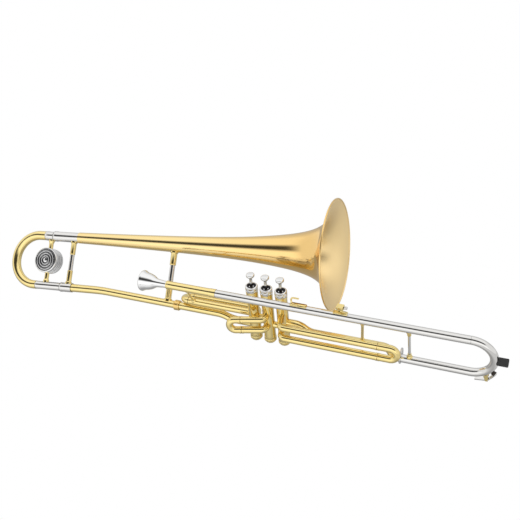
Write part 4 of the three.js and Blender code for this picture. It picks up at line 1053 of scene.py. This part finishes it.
class TROMBONE_OT_valves(bpy.types.Operator):
    """Turns the casings, caps, felts, buttons and pistons of the three valves."""

    bl_idname = "trombone.valves"
    bl_label = "Valves"

    def execute(self, context):
        band = (0.25, 0), (0.35, 0.4), (0.35, 3.4), (0, 3.8)
        casing = about(CASING_RADIUS, CASING_BOTTOM, *band)
        casing += about(CASING_RADIUS, CASING_TOP, (0, -5.4), (0.35, -5), (0.35, 0))

        waist = (-0.3, 0), (0, 0.4), (0, 3), (-0.5, 3.5), (-0.5, 4.3), (0, 4.8)
        cap = about(CAP_RADIUS, CAP_BASE, *waist)
        cap += arc(CAP_RADIUS - 1.8, CAP_TOP - 2.2, 1.8, 2.2, 0, 22.5, 5)
        cap += about(FELT_OUTER, CAP_TOP, (0.3, 0), (0.2, -0.2), (0.2, CAP_DECK - CAP_TOP))
        cap += about(STEM_HOLE, CAP_DECK, (0, 0), (0, -CAP_DECK_THICKNESS))

        ring = [(FELT_INNER, CAP_DECK + 0.2), (FELT_OUTER, CAP_DECK + 0.2)]
        ring += about(FELT_OUTER, CAP_TOP, (0, -0.4), (-0.5, 0))
        ring += about(FELT_INNER, CAP_TOP, (0.4, 0), (0, -0.4))

        dome = (-5, 0.7), (-3.4, 1.5), (-2, 2.9), (-1.1, 5.2)
        groove = (0, 0), (-0.35, 0.4), (0, 0.8)
        cup = [(0, CUP_END), (2.6, CUP_END + 0.1), *about(CAP_RADIUS, CUP_END, *dome)]
        cup += about(CAP_RADIUS, CUP_TOP, (-0.8, -6.2), (0, -5.4))
        cup += about(CAP_RADIUS, CUP_TOP - 4.4, *groove)
        cup += about(CAP_RADIUS, CUP_TOP - 2.3, *groove)
        cup += about(CAP_RADIUS, CUP_TOP, (0, -0.4), (-0.3, 0))
        floor = CUP_END + CUP_FLOOR
        cup += [(CASING_BORE, CUP_TOP), (CASING_BORE, floor + 2.2)]
        cup += [(CAP_RADIUS - 3.9, floor), (0, floor)]

        flare = (0, -5.5), (0.4, -3.4), (1.5, -1.2), (2.9, -0.1)
        button = [(STEM_RADIUS, PISTON_TOP + 0.3), *about(STEM_RADIUS, BUTTON_BASE, *flare)]
        button += about(BUTTON_RADIUS, BUTTON_BASE, (-0.9, 0.6), (-0.2, 1.5), (0, 2.4))
        crown = (0, -1.8), (-0.4, -0.8), (-1.3, -0.15), (-2.2, 0)
        button += about(BUTTON_RADIUS, BUTTON_TOP, *crown)

        for name, outline, steps, slot, body, node in (
            ("valve_casing", closed(CASING_BORE, casing), 64, "yellow_brass", "horn", "casing"),
            ("valve_cap", closed(CASING_BORE, cap), 64, "silver", "horn", "top_cap"),
            ("valve_felt", ring, 48, "felt", "horn", "felt"),
            ("valve_bottom_cap", cup, 64, "yellow_brass", "horn", "bottom_cap"),
            ("finger_button", closed(0, button), 48, "silver", "piston_{}", "button"),
        ):
            first = turned(f"{name}_1", outline, mm(-VALVE_PITCH, 0, 0), Z, steps)
            second = copied(first, f"{name}_2", X * VALVE_PITCH * MM)
            third = copied(second, f"{name}_3", X * VALVE_PITCH * MM)
            for number, made in enumerate((first, second, third), start=1):
                dress(made, slot, body.format(number), f"{node}_{number}")
        for number in (1, 2, 3):
            simple_copy(f"piston_{number}", "nickel", f"piston_{number}")
            simple_copy(f"spring_{number}", "spring_steel", "horn", 60)
        return {"FINISHED"}


def ported(made, *valves):
    """Cuts a tube's end to the casings that it meets."""
    for x in valves:
        seat_on(made, mm(x, 0, 0), Z, CASING_RADIUS - PORT_OVERLAP, 46)
    return made


class TROMBONE_OT_crossovers(bpy.types.Operator):
    """Fits the short tubes between neighbouring casings."""

    bl_idname = "trombone.crossovers"
    bl_label = "Crossover tubes"

    def execute(self, context):
        link = Tube("crossover_3_2_tube", mm(CROSS_START, 0, CROSS_3_2), X, CROSS_RADIUS, 36)
        link.straight(VALVE_PITCH - 2 * CROSS_START)
        first = ported(link.walled(), 0, VALVE_PITCH)
        move = mm(-VALVE_PITCH, 0, CROSS_2_1 - CROSS_3_2)
        second = copied(first, "crossover_2_1_tube", move)
        dress(first, "yellow_brass", "horn", "crossover_3_2")
        dress(second, "yellow_brass", "horn", "crossover_2_1")
        return {"FINISHED"}


# Valve slides


def sleeve(tube, valve):
    """Rings a tube's open end and cuts its other end to the casing."""
    radius = tube.radius
    tube.straight(0.2, radius + 0.4).straight(3.0).straight(0.2, radius + 0.2)
    return ported(tube.walled(SLIDE_WALL), valve)


def two_sleeves(number, tube, valve, move):
    """Finishes an upper sleeve and its copy below."""
    upper = sleeve(tube, valve)
    lower = copied(upper, f"slide_{number}_sleeve_lower", mm(0, 0, move))
    dress(upper, "yellow_brass", "horn", f"slide_{number}_upper")
    dress(lower, "yellow_brass", "horn", f"slide_{number}_lower")


def elbow(name, valve, z, heading, run, axis, turn):
    """The start of a sleeve: its run out of the casing and its turn into line."""
    start = mm(valve, 0, z) + heading * PORT_DEPTH * MM
    tube = Tube(name, start, heading, SLIDE_TUBE, 32)
    return tube.straight(run - PORT_DEPTH).bend(axis, SLIDE_ELBOW, turn, 20)


def slide_bow(number, start, along, across, width, sleeve, tip, insert):
    """Two thin legs and a full-size crook with a collar at each end."""
    radius = width / 2
    run = tip - SLIDE_TUBE - radius - sleeve - 0.9
    collar = min(3.0, run * 0.6)
    rest = max(0.2, run - collar)
    start = start + along * (sleeve - insert) * MM
    tube = Tube(f"slide_{number}_crook", start, along, SLIDE_LEG, 32)
    tube.straight(insert + 0.5).straight(0.3, SLIDE_TUBE).straight(0.1).ring(collar)
    tube.straight(rest).bend(along.cross(across), radius, math.pi, 40).straight(rest)
    tube.ring(collar).straight(0.1).straight(0.3, SLIDE_LEG).straight(insert + 0.5)
    body = f"slide_{number}"
    dress(tube.walled(SLIDE_WALL), "yellow_brass", body, f"{body}_bow")


class TROMBONE_OT_slide_1(bpy.types.Operator):
    """Draws the first slide behind the valves, towards the mouthpiece."""

    bl_idname = "trombone.slide_one"
    bl_label = "First slide"

    def execute(self, context):
        start = mm(-VALVE_PITCH - PORT_DEPTH, *SLIDE_1_UPPER)
        upper = Tube("slide_1_sleeve_upper", start, -X, SLIDE_TUBE, 32)
        upper.straight_to(SLIDE_1_SLEEVE_END + SLEEVE_RING)
        dress(sleeve(upper, -VALVE_PITCH), "yellow_brass", "horn", "slide_1_upper")
        y, z = SLIDE_1_LOWER
        turn = math.pi / 2
        lower = elbow("slide_1_sleeve_lower", -VALVE_PITCH, z, Y, y - SLIDE_ELBOW, Z, turn)
        lower.straight_to(SLIDE_1_SLEEVE_END + SLEEVE_RING)
        dress(sleeve(lower, -VALVE_PITCH), "yellow_brass", "horn", "slide_1_lower")

        first, second = mm(SLIDE_1_START, *SLIDE_1_UPPER), mm(SLIDE_1_START, *SLIDE_1_LOWER)
        across = second - first
        slide_bow(
            1, first, -X, across.normalized(), across.length / MM,
            SLIDE_1_START - SLIDE_1_SLEEVE_END, SLIDE_1_START - SLIDE_1_TIP, SLIDE_1_INSERT,
        )
        return {"FINISHED"}


class TROMBONE_OT_slide_2(bpy.types.Operator):
    """Draws the short second slide in front of the valves."""

    bl_idname = "trombone.slide_two"
    bl_label = "Second slide"

    def execute(self, context):
        along = Vector((-math.cos(SLIDE_2_SPLAY), -math.sin(SLIDE_2_SPLAY), 0))
        turn = math.pi / 2 - SLIDE_2_SPLAY
        front = -SLIDE_2_KNUCKLE_END
        tube = elbow("slide_2_sleeve_upper", 0, SLIDE_2_UPPER, -Y, front, -Z, turn)
        corner = tube.at.copy()
        tube.straight(SLIDE_2_SLEEVE - SLEEVE_RING)
        two_sleeves(2, tube, 0, SLIDE_2_LOWER - SLIDE_2_UPPER)
        slide_bow(
            2, corner, along, -Z, SLIDE_2_UPPER - SLIDE_2_LOWER,
            SLIDE_2_SLEEVE, SLIDE_2_LENGTH, SLIDE_2_INSERT,
        )
        return {"FINISHED"}


class TROMBONE_OT_slide_3(bpy.types.Operator):
    """Draws the long third slide towards the front bow."""

    bl_idname = "trombone.slide_three"
    bl_label = "Third slide"

    def execute(self, context):
        slant = Vector((math.sin(SLIDE_3_SLANT), -math.cos(SLIDE_3_SLANT), 0))
        turn = math.pi / 2 - SLIDE_3_SLANT
        drop = SLIDE_ELBOW * (1 - math.cos(turn))
        run = (-SLIDE_3_FRONT - drop) / math.cos(SLIDE_3_SLANT)
        tube = elbow("slide_3_sleeve_upper", VALVE_PITCH, SLIDE_3_UPPER, slant, run, Z, turn)
        corner = tube.at.copy()
        tube.straight_to(SLIDE_3_SLEEVE_END - SLEEVE_RING)
        two_sleeves(3, tube, VALVE_PITCH, SLIDE_3_LOWER - SLIDE_3_UPPER)
        first = corner.x / MM
        slide_bow(
            3, corner, X, -Z, SLIDE_3_UPPER - SLIDE_3_LOWER,
            SLIDE_3_SLEEVE_END - first, SLIDE_3_TIP - first, SLIDE_3_INSERT,
        )
        return {"FINISHED"}


# Main tubes


class TROMBONE_OT_main_tubes(bpy.types.Operator):
    """Draws the exit tube, the gold return tube, the front bow and the lead pipe."""

    bl_idname = "trombone.main_tubes"
    bl_label = "Main tubes"

    def execute(self, context):
        exit_tube = Tube("exit_tube_drawn", mm(EXIT_JOINT, EXIT_Y, EXIT_Z), X, EXIT_RADIUS)
        exit_tube.straight_to(EXIT_STRAIGHT_END)
        exit_tube.shift(mm(0, -EXIT_Y, EXIT_PORT - EXIT_Z), EXIT_DROP_LENGTH, 8)
        exit_tube.straight_to(-VALVE_PITCH - PORT_DEPTH)
        dress(ported(exit_tube.walled(), -VALVE_PITCH), "yellow_brass", "horn", "exit_tube")

        start = mm(VALVE_PITCH + PORT_DEPTH, 0, RETURN_PORT)
        gold = Tube("return_tube_drawn", start, X, RETURN_RADIUS).straight_to(GOLD_DROP_START)
        gold.shift(mm(0, 0, GOLD_RETURN_Z - RETURN_PORT), GOLD_DROP_LENGTH, 14)
        gold.straight_to(GOLD_STRAIGHT_END)
        gold.shift(mm(0, RETURN_Y, RETURN_Z - GOLD_RETURN_Z), GOLD_ASIDE_LENGTH, 18)
        dress(ported(gold.walled(), VALVE_PITCH), "yellow_brass", "horn", "return_tube")

        bow = Tube("front_bow_drawn", mm(RETURN_START, RETURN_Y, RETURN_Z), X, RETURN_RADIUS)
        bow.straight_to(BOW_X).bend(BOW_SIDE, BOW_RADIUS, math.pi, 64)
        dress(bow.walled(), "nickel", "horn", "front_bow")

        start = mm(BOW_X - JOINT_GAP, LEAD_Y, LEAD_Z)
        lead = Tube("lead_pipe_front_drawn", start, -X, LEAD_FRONT_RADIUS)
        lead.straight_to(0).straight_to(LEAD_JOINT, LEAD_RADIUS)
        dress(lead.walled(), "nickel", "horn", "lead_pipe_front")

        mouth = (0.3, 0), (0.5, 0.3), (0.5, 3.4), (0, 4)
        ferrule = (0, -12.4), (0.5, -12), (0.5, -0.6), (0.3, -JOINT_GAP)
        outline = about(LEAD_REAR_RADIUS, RECEIVER_MOUTH, *mouth)
        outline += about(LEAD_REAR_RADIUS, LEAD_JOINT, *ferrule)
        outline = closed(LEAD_REAR_BORE, outline)
        rear = turned("lead_pipe_rear_turned", outline, mm(0, LEAD_Y, LEAD_Z), X, 48)
        dress(rear, "yellow_brass", "horn", "lead_pipe_rear")

        simple_copy("return_flange", "nickel", "horn", 30)
        return {"FINISHED"}


# Fittings


class TROMBONE_OT_fittings(bpy.types.Operator):
    """Fits the bumper, the water key, the finger hook and the clamp for a music clip."""

    bl_idname = "trombone.fittings"
    bl_label = "Fittings"

    def execute(self, context):
        start = BOW_X + BOW_RADIUS + 4
        outline = about(BUMPER_RADIUS, start, (-0.3, 0), (0, 2.5))
        outline += about(BUMPER_RADIUS, BUMPER_END, (0, -1.2), (-0.4, -0.4), (-1.1, 0))
        centre = Vector((0, BOW_CENTRE.y, BOW_CENTRE.z))
        bumper = turned("bow_bumper", closed(0, outline), centre, X, 48)
        start = BOW_CENTRE - (X * BOW_LEG + BOW_UP * BOW_RADIUS) * MM
        fat = Tube("seat_tool", start, X, RETURN_RADIUS + PORT_OVERLAP).straight(BOW_LEG)
        fat.bend(BOW_SIDE, BOW_RADIUS, math.pi, 64).straight(BOW_LEG)
        dress(carve(bumper, fat.solid()), "black_rubber", "horn", "bumper")
        for node, slot, body in (
            ("water_key", "nickel", "water_key"),
            ("water_pad", "cork", "water_key"),
            ("water_key_saddle", "yellow_brass", "horn"),
            ("finger_hook", "yellow_brass", "horn"),
            ("lyre_holder", "yellow_brass", "horn"),
            ("lyre_screw", "nickel", "lyre_screw"),
        ):
            simple_copy(node, slot, body)
        return {"FINISHED"}


class TROMBONE_OT_mouthpiece(bpy.types.Operator):
    """Turns the mouthpiece with its rounded rim, cup, throat and shank."""

    bl_idname = "trombone.mouthpiece"
    bl_label = "Mouthpiece"

    def execute(self, context):
        outline = list(MOUTHPIECE_RIM) + [(r, a) for a, r in smooth_outline(MOUTHPIECE_BODY, 4)]
        outline += [(SHANK_RADIUS, SHANK_END), (SHANK_BORE, SHANK_END)]
        outline += [(r, a) for a, r in smooth_outline(MOUTHPIECE_CUP, 4)]
        made = turned("mouthpiece_turned", outline, mm(RIM_X, LEAD_Y, LEAD_Z), X, 72)
        dress(made, "silver", "mouthpiece", "mouthpiece")
        return {"FINISHED"}


# Stage


def rays_seen(paint):
    """One for rays from the camera, a reflection or glass, and one for reflections alone."""
    kinds = ("Is Camera Ray", "Is Glossy Ray", "Is Transmission Ray")
    camera, glossy, through = paint.outputs("ShaderNodeLightPath", *kinds)
    settings = {"operation": "MINIMUM"}
    return paint.node("ShaderNodeMath", settings, camera + glossy + through, 1.0), glossy


def floor_material():
    """Pale floor that keeps shadows and is white to the camera; in reflections it shows painted
    shade, darkest under the horn.
    """
    paint = Paint(bpy.data.materials.new("studio_floor"))
    total, glossy = rays_seen(paint)
    along, across, height = paint.split(paint.place())
    # Painted shade: reflections see the floor darker under the horn and behind it
    dim = paint.ramp(across * 0.5 + 0.5, FLOOR_LEVELS)
    dim = dim + (SIDE_LIGHT - dim) * along.fade(*FLOOR_FADE)
    level = 1.0 - glossy * (1.0 - dim)
    plain = paint.node("ShaderNodeBsdfDiffuse", {}, color=(0.9, 0.9, 0.9, 1))
    white = paint.node("ShaderNodeEmission", {}, color=(1, 1, 1, 1), strength=level)
    shader = paint.node("ShaderNodeMixShader", {}, total, plain, white)
    paint.node("ShaderNodeOutputMaterial", {}, shader)
    return paint.owner


def studio_world():
    """White surroundings; reflections also see a black flag between the softboxes overhead."""
    world = bpy.data.worlds.new("white_studio")
    bpy.context.scene.world = world
    paint = Paint(world)
    total, glossy = rays_seen(paint)
    along, across, height = paint.split(paint.node("ShaderNodeTexCoord", out="Generated"))
    turn = paint.node("ShaderNodeMath", {"operation": "ARCTAN2"}, across * -1.0, height)
    dim = paint.ramp(turn * (0.5 / math.pi) + 0.5, SKY_LEVELS)
    aside = paint.node("ShaderNodeMath", {"operation": "ABSOLUTE"}, along)
    dim = (dim + (SIDE_LIGHT - dim) * aside.fade(*SIDE_FADE)) * SOFTBOX_GAIN
    level = (SURROUNDINGS + total * (1 - SURROUNDINGS)) * (1.0 - glossy * (1.0 - dim))
    back = paint.node("ShaderNodeBackground", {}, color=(1, 1, 1, 1), strength=level)
    paint.node("ShaderNodeOutputWorld", {}, back)


class TROMBONE_OT_stage(bpy.types.Operator):
    """Sets the floor, the soft lights and the camera at the photograph's angle."""

    bl_idname = "trombone.stage"
    bl_label = "Studio"

    def execute(self, context):
        scene = context.scene
        scene.view_settings.view_transform = "Standard"
        studio_world()
        clear_selection()
        bpy.ops.mesh.primitive_plane_add(size=FLOOR_SIZE, location=(0, 0, FLOOR_HEIGHT))
        floor = context.object
        floor.name = "studio_floor"
        floor.data.materials.append(floor_material())

        for name, place, size, power in LAMPS:
            clear_selection()
            bpy.ops.object.light_add(type="AREA", location=place)
            lamp = context.object
            lamp.name = name
            lamp.data.size = size
            lamp.data.energy = power
            lamp.visible_glossy = False
            lamp.rotation_euler = Vector(place).to_track_quat("Z", "Y").to_euler()

        clear_selection()
        bpy.ops.object.camera_add(location=CAMERA_PLACE)
        camera = context.object
        camera.name = "photo_camera"
        camera.matrix_world = (
            Matrix.Translation(CAMERA_PLACE)
            @ Matrix.Rotation(CAMERA_AZIMUTH, 4, "Z")
            @ Matrix.Rotation(math.pi / 2 - CAMERA_ELEVATION, 4, "X")
            @ Matrix.Rotation(CAMERA_ROLL, 4, "Z")
        )
        camera.data.sensor_width = 36
        camera.data.lens = CAMERA_LENS
        camera.data.clip_start = 0.01
        camera.data.clip_end = 50
        scene.camera = camera
        return {"FINISHED"}


# Panel and registration


OPERATORS = (
    TROMBONE_OT_bell,
    TROMBONE_OT_slide_sleeves,
    TROMBONE_OT_gooseneck,
    TROMBONE_OT_tuning_slide,
    TROMBONE_OT_counterweight,
    TROMBONE_OT_braces,
    TROMBONE_OT_valves,
    TROMBONE_OT_crossovers,
    TROMBONE_OT_slide_1,
    TROMBONE_OT_slide_2,
    TROMBONE_OT_slide_3,
    TROMBONE_OT_main_tubes,
    TROMBONE_OT_fittings,
    TROMBONE_OT_mouthpiece,
    TROMBONE_OT_stage,
)


class TROMBONE_PT_pieces(bpy.types.Panel):
    """Lists the settings and the pieces of the trombone."""

    bl_idname = "TROMBONE_PT_pieces"
    bl_label = "Valve trombone"
    bl_space_type = "VIEW_3D"
    bl_region_type = "UI"
    bl_category = "Trombone"

    def draw(self, context):
        for group in (context.scene.trombone_finish, context.scene.trombone_detail):
            for key in group.__annotations__:
                self.layout.prop(group, key)
        for operator in OPERATORS:
            self.layout.operator(operator.bl_idname)


CLASSES = (TromboneFinish, TromboneDetail, *OPERATORS, TROMBONE_PT_pieces)


def register():
    for item in CLASSES:
        bpy.utils.register_class(item)
    bpy.types.Scene.trombone_finish = PointerProperty(type=TromboneFinish)
    bpy.types.Scene.trombone_detail = PointerProperty(type=TromboneDetail)


def unregister():
    del bpy.types.Scene.trombone_detail
    del bpy.types.Scene.trombone_finish
    for item in reversed(CLASSES):
        bpy.utils.unregister_class(item)


def main():
    register()
    for operator in OPERATORS:
        group, word = operator.bl_idname.split(".")
        getattr(getattr(bpy.ops, group), word)()
    clear_selection()


if __name__ == "__main__":
    main()
